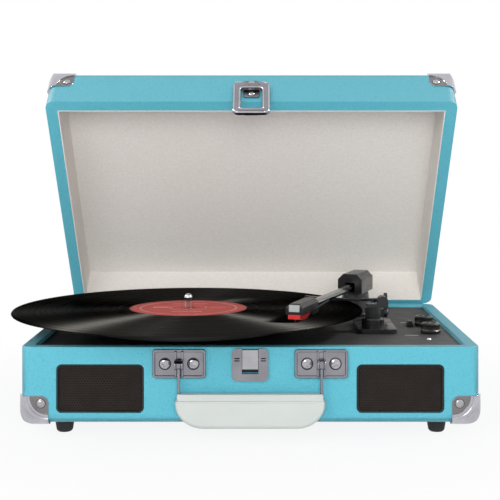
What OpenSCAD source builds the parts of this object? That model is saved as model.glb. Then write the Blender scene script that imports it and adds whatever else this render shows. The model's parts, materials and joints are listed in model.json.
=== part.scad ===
// Suitcase record player: a wooden case covered in leatherette, with its lid held open
// Frame: Z up, X to the right as seen from the front, floor at z = 0

/* [Case] */
// Outer width of the case
case_w = 358; // [348:1:380]
// Outer depth of the case
case_d = 257; // [250:1:275]
// Height of the base, without its feet
base_h = 60; // [58:1:72]
// Height of the lid
lid_h = 43.5; // [43:0.5:60]
// Thickness of the front and side walls
wall = 10; // [8:0.5:11]
// Thickness of the back wall
back_wall = 5; // [4:0.5:8]
// Thickness of the base's floor
floor_t = 6; // [4:0.5:6]
// Thickness of the lid's panel
lid_panel = 4; // [3:0.5:5]
// Radius of the outer edges
edge_r = 8; // [5:0.5:9]
// Radius of the case's corners as seen from the front
corner_r = 13; // [9:0.5:13.5]
// Gap between the rims when the lid is shut
rim_gap = 0.5; // [0.2:0.1:1]
// Angle at which the lid stands open
lid_open = 49.8; // [35:0.1:75]
// Thickness of the lid's lining
lining_t = 0.8; // [0.5:0.1:1.5]

/* [Feet and corner caps] */
// Height of a foot
foot_h = 12; // [8:1:20]
// Diameter of a foot where it meets the base
foot_d = 16; // [12:0.5:20]
// Diameter of a foot at the floor
foot_tip_d = 13; // [9:0.5:14]
// Distance of a foot's axis from the sides of the case
foot_in_x = 30; // [28:1:60]
// Distance of a foot's axis from the front and back of the case
foot_in_y = 28; // [28:1:50]
// Thickness of the corner caps
cap_t = 0.8; // [0.5:0.1:1.2]
// Length of a cap along the edges of the case
cap_edge = 22; // [20:0.5:22.5]
// Radius of a cap's free corner on each face
cap_r = 6; // [3:0.5:8]
// Radius of the sunk lobe that carries a rivet
lobe_r = 14.6; // [12:0.2:15]
// Height of a cap's rolled band above its lobes
bead_t = 0.9; // [0.4:0.1:1.2]
// Diameter of a rivet's head
rivet_d = 5; // [3:0.5:6]

/* [Deck] */
// Thickness of the deck plate
deck_t = 3; // [2:0.5:4]
// Depth of the deck's top below the rim
deck_drop = 2.8; // [1.5:0.1:5]
// Width of the ledge that carries the deck
ledge_w = 6; // [5:0.5:8]
// Height of the ledge
ledge_h = 4.5; // [3:0.5:5]
// Diameter of the deck's screw heads
deck_screw_d = 5; // [4:0.5:5]

/* [Speakers] */
// Distance of a grille's centre from the middle of the case
grille_x = 117; // [110:1:118]
// Height of the grilles' centre above the base's underside
grille_z = 27.4; // [27.2:0.1:30]
// Width of a grille
grille_w = 68.5; // [50:0.5:70]
// Height of a grille
grille_h = 38; // [37:0.5:40]
// Corner radius of a grille
grille_r = 4.5; // [2:0.5:8]
// Width of a grille's raised frame
grille_frame = 1.5; // [1:0.1:2]
// Thickness of a grille panel
grille_t = 1.4; // [1:0.1:2]
// Depth of a grille below the face of the case
grille_drop = 1.2; // [0.5:0.1:2]
// Diameter of a speaker's frame
speaker_d = 42; // [38:0.5:42]
// Depth of a speaker behind the wall
speaker_depth = 26; // [22:1:40]

/* [Record and platter] */
// Diameter of the record
record_d = 301.6; // [290:0.2:304]
// Thickness of the record at its edge and label
record_t = 2.2; // [1.6:0.1:2.6]
// Diameter of the label
label_d = 101.6; // [90:0.2:104]
// Thickness of the label
label_t = 0.3; // [0.2:0.1:0.5]
// Gap in plan between the record's edge and the arm's pivot
record_clear = 2; // [1.5:0.1:6]
// Distance of the record's edge from the back of the case
record_back = 1.6; // [1:0.1:8]
// Diameter of the platter
platter_d = 176; // [170:1:190]
// Height of the platter
platter_h = 12; // [10:0.5:12]
// Gap between the deck and the platter's skirt
platter_gap = 3.9; // [3.5:0.1:5]
// Thickness of the platter's top and skirt
platter_t = 3; // [2:0.5:4]
// Diameter of the ring that the belt drives, as a share of the platter's diameter
belt_ring_share = 0.68; // [0.6:0.01:0.7]
// Thickness of the slip mat
mat_t = 1.2; // [1:0.1:3]
// Diameter of the spindle's free end
spindle_d = 7.1; // [6.9:0.02:7.2]
// Height of the spindle above the record
spindle_up = 12.5; // [8:0.5:16]
// Gap between the motor's pulley and the inside of the platter's skirt
pulley_gap = 2.8; // [1:0.1:5]
// Diameter of the motor's pulley
pulley_d = 10; // [8:0.5:11]

/* [Tone arm] */
// Distance of the arm's pivot from the right side of the case
pivot_in_x = 81; // [79.5:0.5:83.5]
// Distance of the arm's pivot from the back of the case
pivot_back = 57; // [53:0.5:61]
// Length of the arm from its pivot to the stylus
arm_l = 189.4; // [186:0.2:193]
// Radius of the groove that the stylus stands on
play_r = 123; // [62:1:146]
// Diameter of the arm's tube
tube_d = 6.5; // [6:0.5:7.5]
// Height of the arm's axis above the record
arm_up = 8.5; // [8:0.1:9]
// Width of the arm's pivot housing
yoke_w = 23; // [22:0.5:26]
// Length of the arm's pivot housing
yoke_l = 42; // [36:1:44]
// Height of the housing's top above the arm's axis
yoke_up = 12.7; // [11:0.1:13]
// Distance from the pivot to the arm rest
rest_r = 105; // [100:0.5:110]
// Angle of the parked arm from straight ahead, towards the right side
park_yaw = 3.5; // [3:0.1:5]
// Diameter of the arm rest's ribbed column
rest_d = 13.4; // [11:0.2:13.6]
// Distance from the pivot to the lift bar
lift_r = 70; // [64:0.5:76]
// Angle of the lift's post from straight ahead, towards the right side
lift_yaw = 10.5; // [9:0.1:12]
// Height of the cue lever above its pivot
cue_h = 18; // [10:0.5:24]

/* [Controls] */
// Distance of the knobs from the right side of the case
knob_in_x = 26; // [25:0.5:26.5]
// Distance of the volume knob from the front of the case
volume_in_y = 87; // [70:1:95]
// Distance of the function knob from the front of the case
function_in_y = 129; // [120:1:150]
// Diameter of the knobs
knob_d = 17.2; // [14:0.2:18]
// Height of the knobs
knob_h = 8; // [6:0.5:10]
// Distance of the speed slider from the right side of the case
slider_in_x = 39; // [38.5:0.5:41.5]
// Travel of the speed slider
slider_travel = 8; // [4:0.5:10]
// Distance of the lamp from the right side of the case
lamp_in_x = 32; // [26.5:0.5:41.5]
// Distance of the lamp from the front of the case
lamp_in_y = 54; // [40:1:60]

/* [Handle] */
// Distance of a handle bracket from the middle of the case
bracket_x = 55.2; // [48:0.2:60]
// Width of a bracket
bracket_w = 41.4; // [38:0.2:44]
// Height of a bracket
bracket_h = 22.3; // [20:0.1:24]
// Thickness of a bracket's rim
bracket_t = 3.2; // [2.5:0.1:4]
// Distance of the brackets' centre below the rim
bracket_drop = 12.8; // [12:0.1:14]
// Distance of the handle's pivot from the face of the case
handle_out = 8; // [7.5:0.1:10]
// Diameter of the bail wire
bail_d = 2.4; // [2:0.1:3]
// Height of the grip
grip_h = 26.4; // [20:0.2:27]
// Thickness of the grip
grip_t = 13; // [9:0.5:13]
// Distance from the pivot down to the grip's top
grip_drop = 22; // [16:0.5:22]
// Length of the grip beyond the bail wires at each end
grip_over = 2.8; // [2.2:0.1:6]

/* [Latch] */
// Width of the catch plate
catch_w = 28.3; // [26:0.1:32]
// Height of the catch plate
catch_h = 25.3; // [24.5:0.1:27]
// Thickness of the catch plate
catch_t = 2.5; // [2:0.1:3]
// Width of the catch lever
lever_w = 12.3; // [10:0.1:14]
// Height of the catch lever
lever_h = 15; // [13:0.2:15.4]
// Width of the hasp's loop
hasp_w = 32; // [30:0.5:36]
// Length of the hasp's loop
hasp_l = 44; // [43:0.5:46]
// Height of the hasp's pivot above the lid's rim
hasp_up = 17; // [16:0.5:19]
// Width of the opening in the hasp's loop
hasp_eye_w = 18.5; // [17:0.1:20]
// Thickness of the hasp's loop
hasp_t = 2.4; // [2:0.1:3]

/* [Hinges and sockets] */
// Distance of a hinge from the middle of the case
hinge_x = 110; // [100:1:120]
// Width of a hinge
hinge_w = 40; // [30:1:44]
// Height of a hinge leaf
leaf_h = 16; // [12:0.5:18]
// Distance of the hinge's axis from the back of the case
hinge_out = 3; // [2.8:0.1:3.5]
// Depth of the hinges' axis below the rim of the base
hinge_drop = 10; // [8:0.5:11]
// Distance of the socket plate from the middle of the case
jack_x = 45; // [0:1:50]
// Width of the socket plate
jack_w = 66; // [64:0.5:72]
// Height of the socket plate
jack_h = 30; // [20:0.5:30]
// Diameter of a phono socket's barrel
phono_d = 8.3; // [8:0.1:8.6]
// Bore of the headphone socket
aux_d = 3.6; // [3.5:0.1:3.8]
// Bore of the power inlet
power_d = 5.6; // [5.5:0.1:6]

/* [Fits] */
// Gap around a piece that drops into an opening
seat_gap = 0.3; // [0.1:0.05:0.4]
// Gap between moving pieces that pass each other
pass_gap = 0.3; // [0.2:0.05:0.4]
// Radial play of a shaft in its bore
shaft_play = 0.05; // [0.02:0.01:0.08]

/* [Hidden] */
$fn = 64;
eps = 0.01;
cut = 1;

base_z = foot_h;
rim_z = base_z + base_h;
lid_z = rim_z + rim_gap;
floor_z = base_z + floor_t;
inner_w = case_w - 2 * wall;
inner_d = case_d - wall - back_wall;
inner_y = (wall - back_wall) / 2;
right_x = case_w / 2;
front_y = -case_d / 2;
back_y = case_d / 2;
hinge_y = back_y + hinge_out;
hinge_z = rim_z - hinge_drop;

deck_z = rim_z - deck_drop;
deck_under = deck_z - deck_t;
platter_z = deck_z + platter_gap;
platter_top = platter_z + platter_h;
mat_top = platter_top + mat_t;
record_top = mat_top + record_t;
pivot_x = right_x - pivot_in_x;
pivot_y = back_y - pivot_back;
record_x = pivot_x - record_clear - record_d / 2;
record_y = back_y - record_back - record_d / 2;
spindle_r = spindle_d / 2;
shaft_r = spindle_r + 0.45;
bearing_flange = 3;
bearing_down = 18;
belt_ring_d = platter_d * belt_ring_share;
pulley_flange = 1.2;
motor_angle = 120;
motor_reach = platter_d / 2 - platter_t - pulley_gap - pulley_flange - pulley_d / 2;
motor_x = record_x + motor_reach * cos(motor_angle);
motor_y = record_y + motor_reach * sin(motor_angle);
motor_d = 32;
motor_h = 24;
motor_shaft_r = 1.5;
belt_h = 4;
belt_t = 0.8;
belt_gap = 0.15;
belt_z = deck_z + platter_gap + 1.6;

spindle_dx = record_x - pivot_x;
spindle_dy = record_y - pivot_y;
pivot_reach = norm([spindle_dx, spindle_dy]);
arm_to_spindle = acos((pivot_reach ^ 2 + arm_l ^ 2 - play_r ^ 2) / (2 * pivot_reach * arm_l));
arm_yaw = atan2(-spindle_dx, -spindle_dy) - arm_to_spindle;
inner_groove_r = 58;
arm_inner = acos((pivot_reach ^ 2 + arm_l ^ 2 - inner_groove_r ^ 2) / (2 * pivot_reach * arm_l));
inner_yaw = atan2(-spindle_dx, -spindle_dy) - arm_inner;
arm_z = record_top + arm_up;
tube_r = tube_d / 2;
arm_under = arm_z - tube_r - pass_gap;
rest_x = pivot_x + rest_r * sin(park_yaw);
rest_y = pivot_y - rest_r * cos(park_yaw);
lift_x = pivot_x + lift_r * sin(lift_yaw);
lift_y = pivot_y - lift_r * cos(lift_yaw);
lift_bar_w = 4;
lift_bar_t = 2.4;
lift_post_r = 2.2;
cue_x = lift_x + 8.4;
cue_t = 3;
cue_plate_t = 4;
cue_pivot_z = deck_z + cue_plate_t + 7;
cue_pin_r = 1.5;
arm_pin_r = 1.5;
yoke_floor = 1.2;
yoke_play = 1.4;
yoke_z = arm_z - tube_r - 0.8 - yoke_floor;
stem_r = 6;
stem_l = 30;
pedestal_r = 12;
head_l = 42;
head_w = 14;

knob_x = right_x - knob_in_x;
slider_x = right_x - slider_in_x;
slider_y = front_y + function_in_y - 4;
control_shaft_r = 3;
control_depth = 11;
control_d = 14;
knob_lift = 1;

bracket_z = rim_z - bracket_drop;
handle_y = front_y - handle_out;
handle_pin_r = 1.5;
bail_gap = 3.7;
ear_t = 1.5;
ear_r = 3.8;
grip_top = bracket_z - grip_drop;
grip_w = 2 * (bracket_x + bail_d / 2 + grip_over - 1.2);
bail_sunk = 12;

catch_top = rim_z - 1;
lever_top = catch_top - 1;
lever_pivot_z = rim_z - 9.6;
lever_pin_r = 1;
catch_y = front_y - catch_t / 2;
hasp_y = front_y - 4.4;
hasp_z = lid_z + hasp_up;
hasp_pin_r = 1.2;
hasp_knuckle_r = 2.4;
hasp_top = 4;

hinge_r = 2.5;
hinge_pin_r = 1.2;
leaf_t = 1.5;
knuckle_share = 0.36;
jack_up = 25;
jack_z = base_z + jack_up;
jack_lip = 4;
jack_screw_d = 4;
jack_t = 2;
screw_d = 5;
screw_h = 1.5;
rivet_h = 1.3;
rivet_at = cap_edge * 0.73;

// The overall box at rest, whose middle is the origin
box_left = record_x - record_d / 2;
box_right = right_x + cap_t + rivet_h;
box_front = record_y - record_d / 2;
lid_corner_y = back_y - edge_r - hinge_y;
lid_corner_z = lid_z + lid_h - edge_r - hinge_z;
box_back = hinge_y + lid_corner_y * cos(lid_open) + lid_corner_z * sin(lid_open) + edge_r + cap_t
    + bead_t;
origin_x = (box_left + box_right) / 2;
origin_y = (box_front + box_back) / 2;

// Moves a piece from the middle of the case to the middle of the overall box
module placed() {
    translate([-origin_x, -origin_y, 0]) children();
}

// Turns a piece drawn on the shut lid to where the lid stands open
module on_lid() {
    translate([0, hinge_y, hinge_z])
        rotate([-lid_open, 0, 0])
            translate([0, -hinge_y, -hinge_z]) children();
}

// Turns a piece drawn with the arm pointing to the front to where the stylus plays
module on_arm() {
    translate([pivot_x, pivot_y, 0]) rotate([0, 0, -arm_yaw]) children();
}

module at_corners(x, y, z) {
    for (sx = [0, 1], sy = [0, 1])
        mirror([sx, 0, 0]) mirror([0, sy, 0]) translate([-x, -y, z]) children();
}

module box_up(w, d, h) {
    translate([-w / 2, -d / 2, 0]) cube([w, d, h]);
}

module along_x(r, l) {
    rotate([0, 90, 0]) cylinder(r = r, h = l, center = true);
}

// A cylinder that runs towards the back from the point where it stands
module to_back(r, l) {
    rotate([-90, 0, 0]) cylinder(r = r, h = l);
}

module rounded_rect(w, h, r) {
    union() {
        square([w - 2 * r, h], center = true);
        square([w, h - 2 * r], center = true);
        for (sx = [-1, 1], sy = [-1, 1])
            translate([sx * (w / 2 - r), sy * (h / 2 - r)]) circle(r);
    }
}

// A plate that stands on a face of the case and reaches forward from it
module front_plate(w, h, r, t) {
    rotate([90, 0, 0]) linear_extrude(t) rounded_rect(w, h, r);
}

// A screw or rivet head, a slice of a ball that stands on z = 0
module dome(d, h) {
    ball_r = (d * d / 4 + h * h) / (2 * h);
    intersection() {
        translate([0, 0, h - ball_r]) sphere(ball_r);
        cylinder(d = d + cut, h = h + cut);
    }
}

// Half of the case: open at the top, z = 0, with its lower edges and corners rounded
module half_case(h) {
    intersection() {
        translate([0, 0, -h]) linear_extrude(h) rounded_rect(case_w, case_d, edge_r);
        rotate([90, 0, 0]) linear_extrude(case_d + 2 * cut, center = true)
            rounded_rect(case_w, 2 * h, corner_r);
        rotate([90, 0, 90]) linear_extrude(case_w + 2 * cut, center = true)
            rounded_rect(case_d, 2 * h, edge_r);
    }
}

// The outline of a case corner with this radius, grown outwards
module corner_outline(r, grow, reach) {
    union() {
        translate([r, -grow]) square([reach, reach + grow]);
        translate([-grow, r]) square([reach + grow, reach]);
        translate([r, r]) circle(r + grow);
    }
}

module corner_block(grow) {
    reach = 2 * cap_edge;
    intersection() {
        translate([0, 0, -grow]) linear_extrude(reach) corner_outline(edge_r, grow, reach);
        translate([0, reach - grow, 0]) rotate([90, 0, 0])
            linear_extrude(reach) corner_outline(corner_r, grow, reach);
        translate([-grow, 0, 0]) rotate([90, 0, 90])
            linear_extrude(reach) corner_outline(edge_r, grow, reach);
    }
}

// Extrudes an outline into the three faces of a corner, from outside to this depth
module on_faces(out, depth) {
    translate([0, 0, -out]) linear_extrude(out + depth) children();
    translate([0, depth, 0]) rotate([90, 0, 0]) linear_extrude(out + depth) children();
    translate([-out, 0, 0]) rotate([90, 0, 90]) linear_extrude(out + depth) children();
}

// The outline of a cap on one face: a square with its free corner rounded
module cap_face(out) {
    side = cap_edge + out;
    union() {
        translate([-out, -out]) square([side, side - cap_r]);
        translate([-out, -out]) square([side - cap_r, side]);
        translate([cap_edge - cap_r, cap_edge - cap_r]) circle(cap_r);
    }
}

// A pressed corner: a rolled band over the edges, and a sunk lobe on each of three faces
module corner_cap() {
    out = cap_t + bead_t + cut;
    intersection() {
        difference() {
            corner_block(cap_t + bead_t);
            corner_block(shaft_play);
            on_faces(out, -cap_t) translate([cap_edge, cap_edge]) circle(lobe_r);
        }
        on_faces(out, edge_r + cut) cap_face(out);
    }
}

// One rivet on each lobe of a corner cap
module corner_rivets() {
    translate([rivet_at, rivet_at, -cap_t]) rotate([180, 0, 0]) dome(rivet_d, rivet_h);
    translate([rivet_at, -cap_t, rivet_at]) rotate([90, 0, 0]) dome(rivet_d, rivet_h);
    translate([-cap_t, rivet_at, rivet_at]) rotate([0, -90, 0]) dome(rivet_d, rivet_h);
}

// Case

module base_shell() {
    recess = grille_drop + grille_t;
    pocket_deep = 6;
    color("mediumturquoise") difference() {
        translate([0, 0, rim_z]) half_case(base_h);
        translate([0, inner_y, floor_z]) {
            box_up(inner_w, inner_d, deck_under - ledge_h - floor_z);
            box_up(inner_w - 2 * ledge_w, inner_d - 2 * ledge_w, base_h);
        }
        translate([0, inner_y, deck_under]) box_up(inner_w, inner_d, base_h);
        for (side = [-1, 1]) translate([side * grille_x, front_y, base_z + grille_z]) {
            translate([0, recess, 0]) front_plate(grille_w, grille_h, grille_r, recess + cut);
            translate([0, -cut, 0]) to_back(speaker_d / 2 - 3, wall + 2 * cut);
        }
        translate([-lever_w / 2 - 1, front_y - cut, slot_low])
            cube([lever_w + 2, pocket_deep + cut, lever_top + 0.5 - slot_low]);
        translate([jack_x, back_y + cut, jack_z])
            front_plate(jack_w + seat_gap, jack_h + seat_gap, 2, jack_t + cut);
        translate([jack_x, back_y + cut, jack_z])
            front_plate(jack_w - 2 * jack_lip, jack_h - 2 * jack_lip, 2, back_wall + 2 * cut);
    }
}

module base_corners() {
    color("silver") at_corners(case_w / 2, case_d / 2, base_z) corner_cap();
}

module base_rivets() {
    color("gainsboro") at_corners(case_w / 2, case_d / 2, base_z) corner_rivets();
}

module foot() {
    lip = 1.5;
    rotate_extrude() polygon([
        [0, 0], [foot_tip_d / 2 - lip, 0], [foot_tip_d / 2, lip], [foot_d / 2, foot_h - lip],
        [foot_d / 2, foot_h], [0, foot_h]
    ]);
}

module feet() {
    color("black") at_corners(case_w / 2 - foot_in_x, case_d / 2 - foot_in_y, 0) foot();
}

module lid_shell() {
    color("mediumturquoise") on_lid() difference() {
        translate([0, 0, lid_z]) mirror([0, 0, 1]) half_case(lid_h);
        translate([0, inner_y, lid_z - cut]) box_up(inner_w, inner_d, lid_h - lid_panel + cut);
    }
}

// The lining is a shallow tray that fills the inside of the lid
module lid_lining() {
    depth = lid_h - lid_panel;
    play = 2 * shaft_play;
    color("lightgray") on_lid() translate([0, inner_y, lid_z]) difference() {
        box_up(inner_w - play, inner_d - play, depth);
        translate([0, 0, -cut])
            box_up(inner_w - play - 2 * lining_t, inner_d - play - 2 * lining_t, depth - lining_t + cut);
    }
}

module lid_corners() {
    color("silver") on_lid() translate([0, 0, lid_z + lid_h]) mirror([0, 0, 1])
        at_corners(case_w / 2, case_d / 2, 0) corner_cap();
}

module lid_rivets() {
    color("gainsboro") on_lid() translate([0, 0, lid_z + lid_h]) mirror([0, 0, 1])
        at_corners(case_w / 2, case_d / 2, 0) corner_rivets();
}

// Hinges: the base carries the two outer knuckles and the pin, the lid the middle one

knuckle_l = hinge_w * knuckle_share - pass_gap;
lid_knuckle_l = hinge_w - 2 * knuckle_l - 2 * pass_gap;

module leaf_screws(z) {
    for (sx = [-1, 1], sz = [-1, 1])
        translate([sx * hinge_w * 0.36, back_y + leaf_t, z + sz * leaf_h * 0.24])
            rotate([-90, 0, 0]) dome(screw_d, screw_h);
}

module base_hinge_leaf() {
    leaf_top = hinge_z - hinge_r - pass_gap;
    difference() {
        union() {
            translate([-hinge_w / 2, back_y, leaf_top - leaf_h]) cube([hinge_w, leaf_t, leaf_h]);
            for (side = [-1, 1]) translate([side * (hinge_w - knuckle_l) / 2, 0, 0]) {
                translate([-knuckle_l / 2, back_y, leaf_top - cut])
                    cube([knuckle_l, leaf_t, hinge_z - leaf_top + cut]);
                translate([0, hinge_y, hinge_z]) along_x(hinge_r, knuckle_l);
            }
        }
        translate([0, hinge_y, hinge_z]) along_x(hinge_pin_r + shaft_play, hinge_w + cut);
    }
}

module lid_hinge_leaf() {
    leaf_low = hinge_z + hinge_r + pass_gap;
    difference() {
        union() {
            translate([-hinge_w / 2, back_y, leaf_low]) cube([hinge_w, leaf_t, lid_z + leaf_h - leaf_low]);
            translate([-lid_knuckle_l / 2, back_y, hinge_z])
                cube([lid_knuckle_l, leaf_t, leaf_low - hinge_z + cut]);
            translate([0, hinge_y, hinge_z]) along_x(hinge_r, lid_knuckle_l);
        }
        translate([0, hinge_y, hinge_z]) along_x(hinge_pin_r + shaft_play, hinge_w + cut);
    }
}

module base_hinge_leaves() {
    color("silver") for (side = [-1, 1]) translate([side * hinge_x, 0, 0]) base_hinge_leaf();
}

module lid_hinge_leaves() {
    color("silver") on_lid() for (side = [-1, 1]) translate([side * hinge_x, 0, 0]) lid_hinge_leaf();
}

module hinge_pins() {
    color("gray") for (side = [-1, 1])
        translate([side * hinge_x, hinge_y, hinge_z]) along_x(hinge_pin_r, hinge_w);
}

module lid_screws() {
    color("gainsboro") on_lid() {
        for (side = [-1, 1]) translate([side * hinge_x, 0, 0])
            leaf_screws(lid_z + leaf_h / 2);
        for (up = hasp_screws_at)
            translate([0, front_y - hasp_plate_t, hasp_z + up]) rotate([90, 0, 0]) dome(screw_d, screw_h);
    }
}

module case_screws() {
    color("gainsboro") {
        for (side = [-1, 1]) translate([side * hinge_x, 0, 0])
            leaf_screws(hinge_z - hinge_r - pass_gap - leaf_h / 2);
        for (side = [-1, 1], sx = [-1, 1])
            translate([side * bracket_x + sx * bracket_screw_x, front_y - bracket_field, bracket_z])
                rotate([90, 0, 0]) dome(bracket_screw_d, bracket_screw_h);
        for (sx = [-1, 1], sz = [-1, 1])
            translate([jack_x + sx * (jack_w / 2 - jack_lip), back_y, jack_z + sz * (jack_h / 2 - jack_lip)])
                rotate([-90, 0, 0]) dome(jack_screw_d, screw_h);
    }
}

// Speakers

// A plate with a raised frame around it
module grille(side) {
    w = grille_w - 2 * seat_gap;
    h = grille_h - 2 * seat_gap;
    r = grille_r - seat_gap;
    frame_out = grille_drop * 0.7;
    color("black") translate([side * grille_x, front_y + grille_drop + grille_t, base_z + grille_z])
        difference() {
            front_plate(w, h, r, grille_t + frame_out);
            translate([0, -grille_t, 0])
                front_plate(w - 2 * grille_frame, h - 2 * grille_frame, r - grille_frame / 2, grille_t);
        }
}

module speaker_axis(side) {
    translate([side * grille_x, front_y + wall, base_z + grille_z]) rotate([-90, 0, 0]) children();
}

cone_r = speaker_d / 2 - 4;
cone_deep = 10;
cone_t = 1;
coil_r = 7;
magnet_r = speaker_d * 0.36;
magnet_h = 8;

module speaker(side) {
    rim = 2;
    color("dimgray") speaker_axis(side) rotate_extrude() polygon([
        [cone_r + pass_gap, 0], [speaker_d / 2, 0], [speaker_d / 2, rim], [cone_r + 2, rim],
        [magnet_r - 2, speaker_depth - magnet_h], [magnet_r, speaker_depth - magnet_h],
        [magnet_r, speaker_depth], [0, speaker_depth], [0, speaker_depth - magnet_h],
        [coil_r + 2, speaker_depth - magnet_h - 1], [cone_r + pass_gap, rim]
    ]);
}

module cone(side) {
    color("black") speaker_axis(side) rotate_extrude() polygon([
        [cone_r, 0.5], [cone_r, 0.5 + cone_t], [coil_r + cone_t, cone_deep], [coil_r, cone_deep + 2],
        [0, cone_deep + 2], [0, cone_deep - 3], [coil_r - 2, cone_deep - 1], [coil_r, cone_deep - 1.5],
        [cone_r - 3, 0.5]
    ]);
}

// Handle

bracket_field = bracket_t - 1;
bracket_screw_x = bracket_w / 2 - 9.7;
bracket_screw_d = 8.5;
bracket_screw_h = 2;
rib_out = bracket_t + 1.2;
rib_in = 1.2;

// Two ears carry a fixed pin between them, which the bail's eye hangs on
module bracket(side) {
    color("silver") translate([side * bracket_x, front_y, bracket_z]) {
        difference() {
            front_plate(bracket_w, bracket_h, 2.5, bracket_t);
            translate([0, -bracket_field, 0]) front_plate(bracket_w - 4, bracket_h - 4, 1.2, bracket_t);
        }
        for (ear = [-1, 1]) translate([ear * (bail_gap + ear_t) / 2, 0, 0]) {
            translate([0, -handle_out, 0]) along_x(ear_r, ear_t);
            translate([-ear_t / 2, -handle_out, -ear_r]) cube([ear_t, handle_out, 2 * ear_r]);
            translate([-ear_t / 2, -rib_out, rib_in - bracket_h / 2])
                cube([ear_t, rib_out, bracket_h - 2 * rib_in]);
        }
        translate([0, -handle_out, 0]) along_x(handle_pin_r, bail_gap + ear_t);
    }
}

module handle_bails() {
    eye_r = 3.3;
    eye_w = bail_gap - 2 * pass_gap;
    wire_low = grip_top - bail_sunk;
    color("silver") for (side = [-1, 1]) translate([side * bracket_x, handle_y, 0]) difference() {
        union() {
            translate([0, 0, bracket_z]) along_x(eye_r, eye_w);
            translate([0, 0, wire_low]) cylinder(d = bail_d, h = bracket_z - wire_low);
        }
        translate([0, 0, bracket_z]) along_x(handle_pin_r + shaft_play, eye_w + cut);
    }
}

// Outline of the grip from the front: small radii above, large ones below
module grip_outline() {
    top_r = 3;
    low_r = grip_h / 2;
    union() {
        translate([-grip_w / 2, -grip_h + low_r]) square([grip_w, grip_h - low_r - top_r]);
        translate([-grip_w / 2 + top_r, -grip_h + low_r]) square([grip_w - 2 * top_r, grip_h - low_r]);
        translate([-grip_w / 2 + low_r, -grip_h]) square([grip_w - 2 * low_r, grip_h - top_r]);
        for (sx = [-1, 1]) {
            translate([sx * (grip_w / 2 - top_r), -top_r]) circle(top_r);
            translate([sx * (grip_w / 2 - low_r), -grip_h + low_r]) circle(low_r);
        }
    }
}

// Section of the grip from the side: a bevelled top edge and a rounded lower edge
module grip_section() {
    bevel = 4;
    low_r = 4;
    union() {
        polygon([
            [-grip_t / 2, low_r - grip_h], [grip_t / 2, low_r - grip_h], [grip_t / 2, -bevel],
            [grip_t / 2 - bevel / 2, 0], [-grip_t / 2 + bevel / 2, 0], [-grip_t / 2, -bevel]
        ]);
        translate([low_r - grip_t / 2, -grip_h]) square([grip_t - 2 * low_r, grip_h / 2]);
        for (sy = [-1, 1]) translate([sy * (grip_t / 2 - low_r), low_r - grip_h]) circle(low_r);
    }
}

module handle_grip() {
    color("ivory") translate([0, handle_y, grip_top]) difference() {
        intersection() {
            rotate([90, 0, 0]) linear_extrude(grip_t + cut, center = true) grip_outline();
            rotate([90, 0, 90]) linear_extrude(grip_w + cut, center = true) grip_section();
        }
        for (side = [-1, 1]) translate([side * bracket_x, 0, -bail_sunk])
            cylinder(r = bail_d / 2 + shaft_play, h = bail_sunk + cut);
    }
}

// Latch: a sprung lever in the base holds the loop that hangs from the lid

window_w = lever_w + 2 * pass_gap;
slot_low = lever_top - lever_h - 3.7;

module catch_plate() {
    corner = 4;
    slit_w = 4.2;
    slit_h = 2.8;
    slit_x = (catch_w + window_w) / 4;
    color("silver") union() {
        difference() {
            translate([0, front_y, catch_top - catch_h / 2]) front_plate(catch_w, catch_h, corner, catch_t);
            translate([-window_w / 2, front_y - catch_t - cut, slot_low])
                cube([window_w, catch_t + 2 * cut, catch_h + cut]);
            for (side = [-1, 1]) translate([side * slit_x, front_y + cut, lever_pivot_z])
                front_plate(slit_w, slit_h, 0.8, catch_t + 2 * cut);
        }
        translate([0, catch_y, lever_pivot_z]) along_x(lever_pin_r, catch_w - 3);
    }
}

module catch_lever() {
    lever_t = 2;
    hub_r = 1.9;
    color("gainsboro") difference() {
        union() {
            translate([-lever_w / 2, catch_y - lever_t / 2 - 0.9, lever_top - lever_h])
                cube([lever_w, lever_t, lever_h]);
            translate([0, catch_y, lever_pivot_z]) along_x(hub_r, lever_w);
        }
        translate([0, catch_y, lever_pivot_z]) along_x(lever_pin_r + shaft_play, lever_w + cut);
    }
}

hasp_plate_t = 1.6;
hasp_screws_at = [-8, 7.5];
hasp_plate_w = 14.4;

module hasp_plate() {
    low = 12.5;
    high = 11;
    pin_l = hasp_w - 6;
    color("silver") on_lid() union() {
        translate([0, front_y, hasp_z + (high - low) / 2])
            front_plate(hasp_plate_w, high + low, 2.5, hasp_plate_t);
        translate([-hasp_plate_w / 2, hasp_y, hasp_z - hasp_knuckle_r])
            cube([hasp_plate_w, front_y - hasp_y, 2 * hasp_knuckle_r]);
        translate([0, hasp_y, hasp_z]) along_x(hasp_knuckle_r, hasp_plate_w);
        translate([0, hasp_y, hasp_z]) along_x(hasp_pin_r, pin_l);
    }
}

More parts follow.
